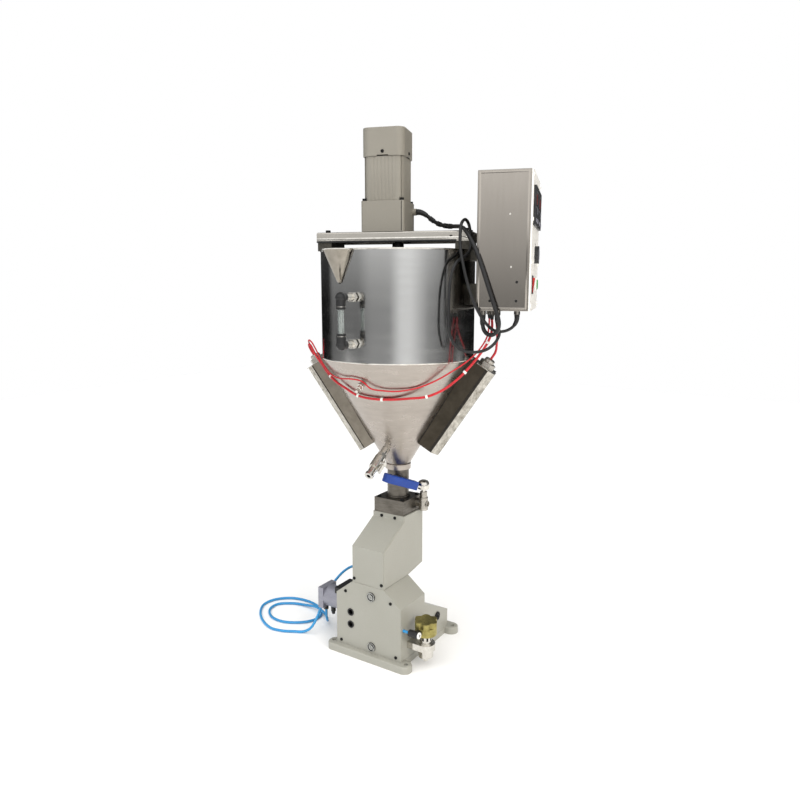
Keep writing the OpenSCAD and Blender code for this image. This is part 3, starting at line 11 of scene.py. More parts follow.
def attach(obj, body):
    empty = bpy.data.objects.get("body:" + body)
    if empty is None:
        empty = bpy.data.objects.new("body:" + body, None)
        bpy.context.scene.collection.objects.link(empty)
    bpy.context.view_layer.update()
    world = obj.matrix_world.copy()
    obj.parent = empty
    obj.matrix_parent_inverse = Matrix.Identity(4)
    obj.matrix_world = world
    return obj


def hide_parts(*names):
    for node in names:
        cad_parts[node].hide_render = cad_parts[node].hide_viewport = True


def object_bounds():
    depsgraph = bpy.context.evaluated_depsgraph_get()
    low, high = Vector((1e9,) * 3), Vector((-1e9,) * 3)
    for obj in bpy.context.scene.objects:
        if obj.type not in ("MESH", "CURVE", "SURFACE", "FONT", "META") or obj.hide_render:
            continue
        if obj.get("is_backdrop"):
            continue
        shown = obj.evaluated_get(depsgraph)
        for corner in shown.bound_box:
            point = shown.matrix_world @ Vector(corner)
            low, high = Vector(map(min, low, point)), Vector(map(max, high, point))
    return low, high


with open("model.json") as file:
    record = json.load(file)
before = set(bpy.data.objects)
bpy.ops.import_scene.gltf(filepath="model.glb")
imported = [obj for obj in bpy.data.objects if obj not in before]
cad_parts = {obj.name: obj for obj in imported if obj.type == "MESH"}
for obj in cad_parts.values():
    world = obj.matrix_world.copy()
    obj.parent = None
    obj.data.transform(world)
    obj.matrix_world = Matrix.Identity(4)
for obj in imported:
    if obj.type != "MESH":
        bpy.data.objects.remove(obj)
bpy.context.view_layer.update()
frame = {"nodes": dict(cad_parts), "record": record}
bpy.ops.object.select_all(action="DESELECT")

MM = 0.001
HOPPER_TURN = math.radians(18.7)
HOPPER = Matrix.Rotation(HOPPER_TURN, 4, "Z")
UPRIGHT = Matrix.Identity(4)
RECORD = frame["record"]
BODY_OF = {node: body for body, nodes in RECORD["behaviour"]["bodies"].items() for node in nodes}

# Levels and radii of the hopper, in millimetres
CONE_Z = 408
CONE_FOOT_R = 26
SHOULDER_Z = 640.5
RIM_Z = 859
HOPPER_R = 160
CONE_SLOPE = (HOPPER_R - CONE_FOOT_R)/(SHOULDER_Z - CONE_Z)
# Filling pocket: a half cone on the wall, from its tip up to the rim
POCKET_TURN = -30
POCKET_TIP_Z = 795
POCKET_TIP_R = 5
POCKET_R = 34
# Gauge tube on the wall
GAUGE_TURN = -17
GAUGE_R = 204
# Heater boxes lean along the cone; each starts at its distance from the hopper's axis
HEATER_START = {"left": 61.4, "right": 69.4}
HEATER_Z = 446
HEATER_LEAN = math.radians(33.5)
HEATER_HALF_WIDTH = 26
# Gearmotor, nozzle and cock
GEARBOX_TOP = 957
MOTOR_TOP = 1043
MOTOR_X = -21
NOZZLE_X, NOZZLE_Y = 118, -75
COCK_X, COCK_Y = 52, 22
PLATE_Y = -118
# Control box
BOX_X, BOX_END_X = 178, 274
BOX_Z, BOX_TOP = 742, 1000
BOX_HALF_DEPTH = 100
PANEL_FACE = 280
PANEL_MIDDLE_Z = 871
DIAL_Y = -22
# Azimuth of the camera, from the front towards +X, in degrees
CAMERA_TURN = 33

# The camera stands where the photograph was taken from
bpy.ops.object.camera_add(
    location=(0.8121, -1.2432, 0.797), rotation=(math.radians(80.4), 0, math.radians(CAMERA_TURN)))
camera = bpy.context.object
camera.name = "photo_camera"
camera.data.lens = 31.5
camera.data.sensor_width = 36
bpy.context.scene.camera = camera

# Cord lines, in metres: the hose in the machine's frame, the leads in the hopper's own frame
HOSE_LINE = [(-0.096, -0.03, 0.124), (-0.096, -0.02, 0.1242), (-0.0968, -0.008, 0.1254),
    (-0.0998, 0.0035, 0.1275), (-0.107, 0.013, 0.1302), (-0.1175, 0.0175, 0.1326),
    (-0.129, 0.016, 0.1334), (-0.139, 0.0085, 0.1315), (-0.147, -0.004, 0.1255),
    (-0.1535, -0.019, 0.1155), (-0.1585, -0.0355, 0.1015), (-0.162, -0.0525, 0.0835),
    (-0.1645, -0.069, 0.0625), (-0.1665, -0.083, 0.0405), (-0.1705, -0.094, 0.022),
    (-0.1785, -0.102, 0.0098), (-0.192, -0.1095, 0.0038), (-0.209, -0.118, 0.0034),
    (-0.232, -0.13, 0.0034), (-0.266, -0.135, 0.0034), (-0.306, -0.119, 0.0034),
    (-0.342, -0.09, 0.0034), (-0.364, -0.054, 0.0034), (-0.358, -0.018, 0.0034),
    (-0.328, 0.01, 0.0034), (-0.284, 0.018, 0.0034), (-0.24, 0.008, 0.0034), (-0.212, -0.016, 0.0034),
    (-0.206, -0.048, 0.0034), (-0.224, -0.076, 0.0034), (-0.26, -0.096, 0.0034),
    (-0.3, -0.094, 0.0034), (-0.332, -0.068, 0.0034), (-0.336, -0.036, 0.0033),
    (-0.308, -0.012, 0.0033), (-0.272, -0.004, 0.005), (-0.236, -0.006, 0.0096),
    (-0.204, -0.017, 0.0096), (-0.18, -0.034, 0.01), (-0.163, -0.052, 0.015), (-0.154, -0.065, 0.025),
    (-0.152, -0.07, 0.038), (-0.152, -0.07, 0.047), (-0.152, -0.07, 0.0546)]
MOTOR_LEAD_LINE = [(0.0324, 0.03, 0.94), (0.04, 0.03, 0.9394), (0.048, 0.0294, 0.9362),
    (0.0565, 0.0272, 0.9306), (0.066, 0.0225, 0.9234), (0.0775, 0.015, 0.9162), (0.091, 0.003, 0.9106),
    (0.106, -0.014, 0.907), (0.118, -0.031, 0.905), (0.13, -0.0495, 0.9035), (0.141, -0.067, 0.9015),
    (0.15, -0.0805, 0.897), (0.1585, -0.091, 0.888), (0.1675, -0.098, 0.8745), (0.179, -0.105, 0.853),
    (0.1915, -0.1095, 0.82), (0.204, -0.1125, 0.784), (0.216, -0.1135, 0.75), (0.2228, -0.113, 0.73),
    (0.2244, -0.1115, 0.7175), (0.2222, -0.1085, 0.7072), (0.2158, -0.103, 0.6992),
    (0.2074, -0.0966, 0.6962), (0.199, -0.0908, 0.6986), (0.1924, -0.086, 0.7066),
    (0.19, -0.084, 0.7175), (0.19, -0.084, 0.7255), (0.19, -0.084, 0.7336)]
POWER_LEAD_LINE = [(0.253, -0.058, 0.7336), (0.253, -0.058, 0.727), (0.2516, -0.0586, 0.7195),
    (0.247, -0.061, 0.7115), (0.2395, -0.065, 0.7055), (0.2295, -0.0705, 0.702), (0.218, -0.078, 0.702),
    (0.2065, -0.088, 0.7085), (0.1914, -0.1015, 0.728), (0.1765, -0.1075, 0.757), (0.1647, -0.109, 0.79),
    (0.1546, -0.1085, 0.828), (0.1482, -0.1065, 0.862), (0.1474, -0.104, 0.888),
    (0.1483, -0.096, 0.9055), (0.1526, -0.081, 0.9135), (0.1571, -0.067, 0.9065),
    (0.1598, -0.06, 0.8895), (0.161, -0.0605, 0.871), (0.1602, -0.067, 0.857), (0.1555, -0.0805, 0.847),
    (0.1483, -0.0925, 0.841), (0.141, -0.103, 0.833), (0.1351, -0.11, 0.819), (0.1315, -0.115, 0.8),
    (0.1302, -0.119, 0.775), (0.13, -0.121, 0.742), (0.131, -0.121, 0.705), (0.142, -0.117, 0.678),
    (0.16, -0.112, 0.666), (0.181, -0.109, 0.664), (0.201, -0.107, 0.669), (0.216, -0.101, 0.681),
    (0.223, -0.092, 0.696), (0.221, -0.085, 0.71), (0.218, -0.084, 0.723), (0.218, -0.084, 0.7336)]
LEFT_HEATER_LINE = [(0.206, -0.068, 0.7336), (0.206, -0.068, 0.724), (0.207, -0.071, 0.713),
    (0.206, -0.077, 0.697), (0.2, -0.082, 0.68), (0.188, -0.087, 0.66), (0.17, -0.092, 0.636),
    (0.146, -0.098, 0.61), (0.118, -0.104, 0.588), (0.086, -0.111, 0.574), (0.052, -0.117, 0.57),
    (0.016, -0.121, 0.567), (-0.02, -0.121, 0.567), (-0.054, -0.113, 0.571), (-0.084, -0.103, 0.584),
    (-0.108, -0.09, 0.594), (-0.132, -0.072, 0.609), (-0.15, -0.057, 0.625), (-0.163, -0.0455, 0.6345),
    (-0.174, -0.0365, 0.6445), (-0.181, -0.0305, 0.6525), (-0.187, -0.0262, 0.66),
    (-0.1915, -0.0219, 0.6628), (-0.1957, -0.0159, 0.6623), (-0.1977, -0.00995, 0.6587),
    (-0.1971, -0.0056, 0.653), (-0.1946, -0.004, 0.6473), (-0.1897, -0.004, 0.6399)]
RIGHT_HEATER_LINE = [(0.213, -0.052, 0.7336), (0.213, -0.052, 0.724), (0.2135, -0.0505, 0.715),
    (0.214, -0.047, 0.706), (0.214, -0.042, 0.697), (0.2135, -0.036, 0.689), (0.2125, -0.03, 0.682),
    (0.2115, -0.0235, 0.676), (0.2105, -0.017, 0.6705), (0.2095, -0.011, 0.6655),
    (0.2085, -0.006, 0.6605), (0.2068, -0.0025, 0.655), (0.204, 0, 0.6495), (0.2008, 0, 0.6446),
    (0.1977, 0, 0.6399)]
PROBE_LINE = [(0.199, -0.054, 0.7336), (0.199, -0.054, 0.724), (0.199, -0.058, 0.709),
    (0.196, -0.066, 0.688), (0.182, -0.076, 0.664), (0.16, -0.084, 0.642), (0.134, -0.092, 0.624),
    (0.104, -0.104, 0.606), (0.07, -0.116, 0.592), (0.034, -0.129, 0.5855), (0, -0.1345, 0.5865),
    (-0.02, -0.137, 0.59), (-0.032, -0.1385, 0.6), (-0.042, -0.138, 0.6055), (-0.064, -0.131, 0.607),
    (-0.094, -0.112, 0.605), (-0.122, -0.088, 0.611), (-0.146, -0.066, 0.629), (-0.162, -0.049, 0.6455),
    (-0.1745, -0.037, 0.659), (-0.1821, -0.0313, 0.6675), (-0.1901, -0.024, 0.672),
    (-0.1966, -0.0147, 0.6713), (-0.1997, -0.0053, 0.6656), (-0.1989, 0.0015, 0.6566),
    (-0.1946, 0.004, 0.6473), (-0.1897, 0.004, 0.6399)]


def linear(code):
    """An sRGB hex colour as linear red, green, blue and alpha."""
    values = [int(code[i:i + 2], 16)/255 for i in (1, 3, 5)]
    return (*[v/12.92 if v <= 0.04045 else ((v + 0.055)/1.055)**2.4 for v in values], 1)


def add_node(tree, kind, links=None, **settings):
    """Adds a shader node with its settings, and its inputs as links or fixed values."""
    made = tree.nodes.new(kind)
    for key, value in settings.items():
        setattr(made, key, value)
    for key, value in (links or {}).items():
        if isinstance(value, bpy.types.NodeSocket):
            tree.links.new(value, made.inputs[key])
        else:
            made.inputs[key].default_value = value
    return made


def finish(name, light, dark, roughness, metallic=0.0, grain=(2, 2, 2), spread=0.06, relief=0.02,
           cloud=60, coat=0.0, turn=0.0, fine_share=0.5, coat_roughness=0.1):
    """A finish of two close colours, mixed by slow clouds and fine grain in millimetres.

    The grain also moves the gloss and the relief.
    """
    material = bpy.data.materials.new(name)
    material.use_nodes = True
    tree = material.node_tree
    tree.nodes.clear()
    place = add_node(tree, "ShaderNodeTexCoord").outputs["Object"]
    lie = add_node(tree, "ShaderNodeMapping", {
        "Vector": place, "Rotation": (0, 0, -turn), "Scale": [1/(g*MM) for g in grain]})
    fine = add_node(tree, "ShaderNodeTexNoise", {
        "Vector": lie.outputs[0], "Scale": 1.0, "Detail": 3.0, "Roughness": 0.6})
    slow = add_node(tree, "ShaderNodeTexNoise", {
        "Vector": place, "Scale": 1/(cloud*MM), "Detail": 2.0})
    both = add_node(tree, "ShaderNodeMix", {
        0: fine_share, 2: slow.outputs["Fac"], 3: fine.outputs["Fac"]})
    share = add_node(tree, "ShaderNodeMapRange", {
        "Value": both.outputs[0], "From Min": 0.35, "From Max": 0.65})
    colour = add_node(tree, "ShaderNodeMix", {
        0: share.outputs[0], 6: linear(light), 7: linear(dark)}, data_type="RGBA")
    gloss = add_node(tree, "ShaderNodeMapRange", {
        "Value": fine.outputs["Fac"], "From Min": 0.3, "From Max": 0.7,
        "To Min": max(roughness - spread, 0.02), "To Max": roughness + spread})
    bump = add_node(tree, "ShaderNodeBump", {
        "Height": fine.outputs["Fac"], "Strength": 0.4, "Distance": relief*MM})
    shader = add_node(tree, "ShaderNodeBsdfPrincipled", {
        "Base Color": colour.outputs[2], "Roughness": gloss.outputs[0], "Metallic": metallic,
        "Coat Weight": coat, "Coat Roughness": coat_roughness, "Normal": bump.outputs[0]})
    add_node(tree, "ShaderNodeOutputMaterial", {"Surface": shader.outputs[0]})
    return material


# Gloss enamel on sheet steel, sprayed: a faint orange peel and a soft sheen
cream_paint = finish("sprayed_cream_enamel", "#9c9b92", "#97968c", 0.42, grain=(1.6, 1.6, 1.6),
    relief=0.02, cloud=90, coat=0.25)
# Stainless sheet rolled round the hopper: faint level bands, and a gloss that mirrors the room upright
hopper_sheet = finish("brushed_stainless_hopper", "#c6c6c5", "#bfbfbd", 0.15, 1.0,
    grain=(120, 120, 14), spread=0.03, relief=0.004, cloud=160)
# The same sheet pressed and welded into the filling pocket: duller and browner, with small slow clouds
pocket_sheet = finish("pressed_stainless_pocket", "#a19b91", "#8d877d", 0.20, 1.0,
    grain=(14, 14, 14), spread=0.05, relief=0.01, cloud=22)
# The same sheet on the cone, a little duller and warmer; its darker tone is painted shade, for the dimmer
# reflections the cone shows
cone_sheet_painted_shade = finish("brushed_stainless_cone_painted_shade", "#b9b1a9", "#aba39b", 0.30, 1.0,
    grain=(40, 40, 9), spread=0.05, relief=0.004, cloud=70)
# Stainless sheet of the control box, fine-brushed: soft gloss, faint slow clouds
folded_sheet = finish("brushed_stainless_box", "#a8a29a", "#a39d95", 0.13, 1.0,
    grain=(9, 9, 90), spread=0.02, relief=0.0008, cloud=90)
# Sheet of the heater boxes, dulled and browned by heat: grey-brown with slow stains
heater_sheet = finish("heat_dulled_stainless", "#8d867b", "#7d766b", 0.36, 1.0,
    grain=(12, 12, 12), spread=0.06, relief=0.006, cloud=30)
# The same sheet painted brown-black on the right box: painted shade, for the darker side of the room that box
# faces
painted_shade_heater_sheet = finish("heater_stainless_painted_shade", "#4c463d", "#3f3a32", 0.40, 1.0,
    grain=(12, 12, 12), spread=0.06, relief=0.006, cloud=30)
# Angled folded faces of the heater boxes, painted pale and mottled: a painted highlight
mottled_painted_highlight = finish("pale_mottled_painted_highlight", "#d3cfc6", "#8f8a80", 0.38, 1.0,
    grain=(5, 5, 7), spread=0.08, relief=0.02, cloud=16)
# Fused weld and the gap beside it: narrow and almost black. The same finish paints the strips of shadow on the
# heater boxes
dark_seam_and_shadow = finish("dark_weld_seam_and_painted_shadow", "#35312b", "#1e1b17", 0.45, 0.6, grain=(2, 2, 2), cloud=8)
# Bright milled and ground stainless of the bridge: long fine lines along it
ground_bar = finish("ground_stainless_bridge", "#c4c0b8", "#b8b3aa", 0.24, 1.0,
    grain=(150, 30, 3), spread=0.03, relief=0.002, cloud=120, turn=HOPPER_TURN)
# Milled stainless block, not polished: dark, with short cutter marks
milled_steel = finish("milled_stainless_block", "#78736c", "#605c55", 0.36, 1.0,
    grain=(14, 14, 2), spread=0.06, relief=0.01, cloud=25)
# Turned stainless: fine rings round the axis show as a soft vertical gloss
turned_steel = finish("turned_stainless", "#bdb8b0", "#98948c", 0.28, 1.0,
    grain=(25, 25, 0.9), spread=0.08, relief=0.01, cloud=30)
# Bright nickel plate on brass fittings: almost a mirror, with small dull spots
bright_plate = finish("nickel_plate_bright", "#e2dfd8", "#c4c0b8", 0.14, 1.0,
    grain=(3, 3, 3), spread=0.05, relief=0.01, cloud=20)
# Zinc plate on screws: semi-bright and slightly blue
zinc_plate = finish("zinc_plate", "#bfc0bd", "#9fa09c", 0.32, 1.0, grain=(1, 1, 1), cloud=8)
# Sand-cast aluminium painted grey-beige: fine tooth under a satin paint
motor_paint = finish("satin_grey_motor_paint", "#8d897f", "#868278", 0.45, grain=(1.1, 1.1, 1.1),
    relief=0.05, cloud=70, coat=0.08)
# Black-oxide steel: almost black, satin, oily
black_oxide = finish("black_oxide_steel", "#1d1d1d", "#121212", 0.38, 0.6, grain=(1, 1, 1), cloud=10)
# Dark hot-rolled steel for brackets and ears
dark_sheet = finish("dark_rolled_steel", "#5a5750", "#3f3d38", 0.45, 0.9, grain=(4, 4, 4), cloud=30)
# Moulded black nylon fittings: a fine grain, low gloss. The same finish paints the dark strips of shadow along
# the bridge's lower edges
black_nylon_and_shadow = finish("moulded_black_nylon_and_painted_shadow", "#1b1b1c", "#101011", 0.40, grain=(0.8, 0.8, 0.8),
    relief=0.03, cloud=20)
# Extruded PVC cord jacket: black, soft gloss, fine lengthways drawing marks
black_pvc = finish("extruded_black_pvc", "#19191a", "#0e0e0f", 0.42, grain=(1.2, 1.2, 1.2),
    relief=0.02, cloud=30)
# Silicone-coated heater wire: saturated red, slightly waxy
red_silicone = finish("red_silicone_wire", "#c8202c", "#b0161f", 0.45, grain=(2, 2, 2),
    relief=0.02, cloud=25)
# Polyurethane air hose: clear-edged blue, glossy
blue_hose_tube = finish("polyurethane_air_hose", "#2f93cc", "#2483bd", 0.30, grain=(3, 3, 3),
    relief=0.01, cloud=60, coat=0.3)
# Dipped vinyl grip: strong blue, thick, glossy
blue_vinyl = finish("dipped_blue_vinyl", "#063b92", "#05307e", 0.34, grain=(2.5, 2.5, 2.5),
    relief=0.03, cloud=30, coat=0.1)
# Anodised aluminium of the air cylinder: matt grey-lilac
grey_anodised = finish("grey_anodised_aluminium", "#9a9aa4", "#8a8a94", 0.42, 0.55,
    grain=(14, 1.4, 1.4), relief=0.01, cloud=40)
# Cast and turned brass gone olive with handling
olive_brass = finish("aged_olive_brass", "#b3a868", "#857c48", 0.34, 0.9, grain=(2, 2, 1.2),
    spread=0.12, relief=0.03, cloud=12)
# White powder coat on the panel: even and satin
white_coat = finish("white_powder_coat", "#eeede9", "#e4e3de", 0.45, grain=(0.9, 0.9, 0.9),
    relief=0.03, cloud=60)
# Moulded ABS of the controllers and the dial: black, fine spark grain
black_abs = finish("moulded_black_abs", "#242527", "#1a1b1c", 0.44, grain=(0.7, 0.7, 0.7),
    relief=0.03, cloud=30)
# Moulded red polycarbonate rocker
red_rocker = finish("moulded_red_rocker", "#c8281e", "#b41f17", 0.28, grain=(2, 2, 2), cloud=12, coat=0.3)
# Moulded green push button
green_button = finish("moulded_green_button", "#3fa24c", "#35923f", 0.30, grain=(2, 2, 2), cloud=12, coat=0.3)
# White nylon ties and rings
white_nylon = finish("white_nylon_tie", "#eeeeea", "#e2e2dd", 0.45, grain=(0.8, 0.8, 0.8), cloud=10)
# Red figures of a segment display behind its filter
red_segments = finish("red_display_segments", "#7a2018", "#6a1a12", 0.5, grain=(1, 1, 1), cloud=10)
# Tinted acrylic window over the display
display_window = finish("tinted_acrylic_window", "#2a0e0c", "#1c0a09", 0.12, grain=(4, 4, 4),
    relief=0.0, cloud=30)

# Clear acrylic sight tube
sight_acrylic = bpy.data.materials.new("clear_acrylic_tube")
sight_acrylic.use_nodes = True
tube_tree = sight_acrylic.node_tree
tube_tree.nodes.clear()
tube_place = add_node(tube_tree, "ShaderNodeTexCoord").outputs["Object"]
tube_haze = add_node(tube_tree, "ShaderNodeTexNoise", {"Vector": tube_place, "Scale": 90.0, "Detail": 2.0})
tube_gloss = add_node(tube_tree, "ShaderNodeMapRange", {
    "Value": tube_haze.outputs["Fac"], "To Min": 0.03, "To Max": 0.12})
tube_shader = add_node(tube_tree, "ShaderNodeBsdfPrincipled", {
    "Base Color": linear("#e6ecea"), "Roughness": tube_gloss.outputs[0], "IOR": 1.49,
    "Transmission Weight": 0.85})
add_node(tube_tree, "ShaderNodeOutputMaterial", {"Surface": tube_shader.outputs[0]})


def select_only(piece):
    """Leaves one piece selected and active."""
    bpy.ops.object.select_all(action="DESELECT")
    piece.select_set(True)
    bpy.context.view_layer.objects.active = piece


def settled(name):
    """The piece just added: its place goes into its mesh and it takes its name."""
    piece = bpy.context.object
    bpy.ops.object.transform_apply(location=True, rotation=True, scale=True)
    piece.name = name
    piece.data.name = name
    return piece


def apply_modifier(piece, kind, **settings):
    """Adds one modifier and applies it."""
    select_only(piece)
    made = piece.modifiers.new(kind.lower(), kind)
    for key, value in settings.items():
        setattr(made, key, value)
    bpy.ops.object.modifier_apply(modifier=made.name)


def rounded(piece, radius, segments=2, angle=32):
    """Rounds the piece's sharp edges, in millimetres."""
    apply_modifier(piece, "BEVEL", width=radius*MM, segments=segments, limit_method="ANGLE",
        angle_limit=math.radians(angle), use_clamp_overlap=True)
    return piece


def round_edges(piece, radius, chosen, segments=4, frame_matrix=HOPPER):
    """Rounds only the sharp edges whose two ends pass a test on their place in a frame, in millimetres."""
    back = frame_matrix.inverted()
    select_only(piece)
    bpy.ops.object.mode_set(mode="EDIT")
    bpy.ops.mesh.select_mode(type="EDGE")
    bpy.ops.mesh.select_all(action="DESELECT")
    bpy.ops.object.mode_set(mode="OBJECT")
    places = [back @ v.co/MM for v in piece.data.vertices]
    sides = {}
    for face in piece.data.polygons:
        for key in face.edge_keys:
            sides.setdefault(key, []).append(face.normal)
    for edge in piece.data.edges:
        two = sides.get(edge.key, [])
        sharp = len(two) == 2 and two[0].angle(two[1], 0) > 0.5
        edge.select = sharp and all(chosen(places[v]) for v in edge.vertices)
    bpy.ops.object.mode_set(mode="EDIT")
    bpy.ops.mesh.bevel(offset=radius*MM, segments=segments, affect="EDGES", clamp_overlap=True)
    bpy.ops.mesh.select_mode(type="VERT")
    bpy.ops.object.mode_set(mode="OBJECT")
    bpy.ops.object.shade_smooth_by_angle(angle=math.radians(35))
    apply_modifier(piece, "WEIGHTED_NORMAL", keep_sharp=True)
    return piece


def dressed(piece, material, body, stands_for=(), smooth=35):
    """Gives the piece its finish, smooth shading and body, and hides the nodes that it stands for."""
    select_only(piece)
    if piece.type == "MESH":
        bpy.ops.object.shade_smooth_by_angle(angle=math.radians(smooth))
    piece.data.materials.clear()
    piece.data.materials.append(material)
    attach(piece, body)
    if stands_for:
        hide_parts(*stands_for)
    return piece


def rounded_copy(node, radius, material, segments=2, angle=32, smooth=35, flat=1.0):
    """A merged copy of a node's solid in its place, with sharp edges rounded.

    Faces that are flat to one another within an angle are joined first.
    """
    source = frame["nodes"][node]
    piece = bpy.data.objects.new(node + "_dressed", source.data.copy())
    bpy.context.collection.objects.link(piece)
    piece.data.transform(source.matrix_world)
    select_only(piece)
    bpy.ops.object.mode_set(mode="EDIT")
    bpy.ops.mesh.select_all(action="SELECT")
    bpy.ops.mesh.remove_doubles(threshold=0.00002)
    if flat:
        bpy.ops.mesh.dissolve_limited(angle_limit=math.radians(flat))
    bpy.ops.object.mode_set(mode="OBJECT")
    if radius:
        rounded(piece, radius, segments, angle)
    dressed(piece, material, BODY_OF[node], [node], smooth)
    if radius:
        apply_modifier(piece, "WEIGHTED_NORMAL", keep_sharp=True)
    return piece


def shaded_round(piece, frame_matrix=HOPPER):
    """Shades the walls that run round a frame's +Z as true round walls, whatever their facets."""
    back = frame_matrix.inverted()
    turn, unturn = frame_matrix.to_3x3(), back.to_3x3()
    normals = []
    for face in piece.data.polygons:
        normal = unturn @ face.normal
        level = normal.xy.length
        for corner in face.vertices:
            out = (back @ piece.data.vertices[corner].co).xy.normalized()
            share = normal.xy.dot(out)/level if level > 0.3 else 0
            side = math.copysign(level, share)
            round_wall = abs(share) > 0.97
            normals.append(turn @ Vector((*(out*side), normal.z)) if round_wall else face.normal)
    piece.data.normals_split_custom_set(normals)
    return piece


def repaint(piece, material, inside, frame_matrix=UPRIGHT):
    """Gives another finish to the faces whose middle and normal pass a test in a frame, in millimetres."""
    back = frame_matrix.inverted()
    piece.data.materials.append(material)
    last = len(piece.data.materials) - 1
    for face in piece.data.polygons:
        if inside(back @ face.center/MM, back.to_3x3() @ face.normal):
            face.material_index = last


def block(name, low, high, radius=0.0, segments=2):
    """A box between two corners, in millimetres, with its edges rounded."""
    bpy.ops.mesh.primitive_cube_add(size=1, location=[(a + b)/2*MM for a, b in zip(low, high)],
        scale=[(b - a)*MM for a, b in zip(low, high)])
    piece = settled(name)
    return rounded(piece, radius, segments) if radius else piece


def turned(name, steps, sides=32, corner=0.0):
    """Turns a piece on +Z: a ring is drawn out through (radius, height) steps, and its open ends are closed."""
    radius, height = steps[0]
    bpy.ops.mesh.primitive_circle_add(vertices=sides, radius=radius*MM, location=(0, 0, height*MM))
    piece = settled(name)
    bpy.ops.object.mode_set(mode="EDIT")
    bpy.ops.mesh.select_all(action="SELECT")
    for next_radius, next_height in steps[1:]:
        bpy.ops.mesh.extrude_region_move(
            TRANSFORM_OT_translate={"value": (0, 0, (next_height - height)*MM)})
        if next_radius != radius:
            size = next_radius/radius
            bpy.ops.transform.resize(value=(size, size, 1), center_override=(0, 0, next_height*MM))
        radius, height = next_radius, next_height
    bpy.ops.mesh.select_all(action="SELECT")
    bpy.ops.mesh.remove_doubles(threshold=0.000005)
    bpy.ops.mesh.fill_holes(sides=0)
    bpy.ops.mesh.select_all(action="SELECT")
    bpy.ops.mesh.normals_make_consistent(inside=False)
    bpy.ops.object.mode_set(mode="OBJECT")
    return rounded(piece, corner, 2, 40) if corner else piece


def moved(piece, matrix):
    """Puts the piece in place, in its mesh."""
    piece.data.transform(matrix)
    return piece


def at(x, y, z, towards=(0, 0, 1), spin=0.0, frame_matrix=HOPPER):
    """The matrix that puts a piece made on +Z at a point, in millimetres, pointing along a direction."""
    turn = Vector(towards).to_track_quat("Z", "Y").to_matrix().to_4x4()
    return frame_matrix @ Matrix.Translation(Vector((x, y, z))*MM) @ turn @ Matrix.Rotation(spin, 4, "Z")


def scattered(master, places, name):
    """Copies of one piece, each with its own mesh, joined into one."""
    copies = []
    for place in places:
        piece = master.copy()
        piece.data = master.data.copy()
        piece.data.transform(place)
        bpy.context.collection.objects.link(piece)
        copies.append(piece)
    bpy.data.objects.remove(master)
    bpy.ops.object.select_all(action="DESELECT")
    for piece in copies:
        piece.select_set(True)
    bpy.context.view_layer.objects.active = copies[0]
    if len(copies) > 1:
        bpy.ops.object.join()
    copies[0].name = name
    copies[0].data.name = name
    return copies[0]


def smooth_line(points, steps=8):
    """A dense line through the points, curved as a limp cord lies."""
    ends = [points[0], *points, points[-1]]
    line = []
    for i in range(len(points) - 1):
        a, b, c, d = (Vector(p) for p in ends[i:i + 4])
        for k in range(steps):
            t = k/steps
            line.append(0.5*(2*b + (c - a)*t + (2*a - 5*b + 4*c - d)*t*t + (3*b - a - 3*c + d)*t**3))
    line.append(Vector(points[-1]))
    return line


def tube(name, line, radii, sides=3):
    """A round bar along a line, as one open spline; radii is one number or one for each point."""
    curve = bpy.data.curves.new(name, "CURVE")
    curve.dimensions = "3D"
    curve.bevel_depth = MM
    curve.bevel_resolution = sides
    curve.use_fill_caps = True
    spline = curve.splines.new("POLY")
    spline.points.add(len(line) - 1)
    for i, point in enumerate(line):
        spline.points[i].co = (*point, 1)
        spline.points[i].radius = radii[i] if isinstance(radii, list) else radii
    piece = bpy.data.objects.new(name, curve)
    bpy.context.collection.objects.link(piece)
    return piece


def cord(name, node, points, diameter, material, matrix):
    """A cord on its line, standing for its node."""
    line = [matrix @ p for p in smooth_line(points)]
    piece = tube(name, line, diameter/2)
    dressed(piece, material, "frame", [node])
    return line


def sleeve(name, line, length, thick, thin, material, start=0.0):
    """A tapered sleeve over the first millimetres of a line, for the strain relief of a cord."""
    run, part, radii = 0.0, [], []
    for a, b in zip(line, line[1:]):
        if start <= run <= start + length:
            part.append(a)
            share = (run - start)/length
            ring = 0.35 if len(part) % 2 else 0.0
            radii.append(thick + (thin - thick)*share + ring)
        run += (b - a).length/MM
    piece = tube(name, part, radii, 5)
    select_only(piece)
    bpy.ops.object.convert(target="MESH")
    return dressed(bpy.context.object, material, "frame")


hose = cord("air_hose", "blue_hose", HOSE_LINE, 6, blue_hose_tube, UPRIGHT)
motor_cord = cord("motor_cord", "motor_lead", MOTOR_LEAD_LINE, 8, black_pvc,
    HOPPER)
power_cord = cord("power_cord", "power_lead", POWER_LEAD_LINE, 6, black_pvc,
    HOPPER)
left_wire = cord("left_heater_wire", "heater_lead_left", LEFT_HEATER_LINE, 5, red_silicone,
    HOPPER)
right_wire = cord("right_heater_wire", "heater_lead_right", RIGHT_HEATER_LINE, 5, red_silicone,
    HOPPER)
probe_wire = cord("probe_wire", "probe_lead", PROBE_LINE, 3.2, red_silicone,
    HOPPER)
sleeve("motor_cord_relief", motor_cord, 24, 6.2, 4.5, black_nylon_and_shadow)
sleeve("motor_cord_box_relief", motor_cord[::-1], 20, 5.6, 4.4, black_nylon_and_shadow)
sleeve("power_cord_relief", power_cord, 22, 5.2, 3.5, black_nylon_and_shadow)
sleeve("power_cord_end_relief", power_cord[::-1], 22, 5.2, 3.5, black_nylon_and_shadow)
for name, line in [("left_wire_relief", left_wire), ("right_wire_relief", right_wire)]:
    sleeve(name, line, 10, 4.2, 3.0, black_nylon_and_shadow)
sleeve("probe_wire_relief", probe_wire, 9, 3.6, 2.0, black_nylon_and_shadow)
# Turns of black tape that hold the motor lead's cores together
for number, start in enumerate((34, 58, 84, 104)):
    sleeve(f"motor_cord_tape_{number}", motor_cord, 14, 5.0, 4.7, black_pvc, start)


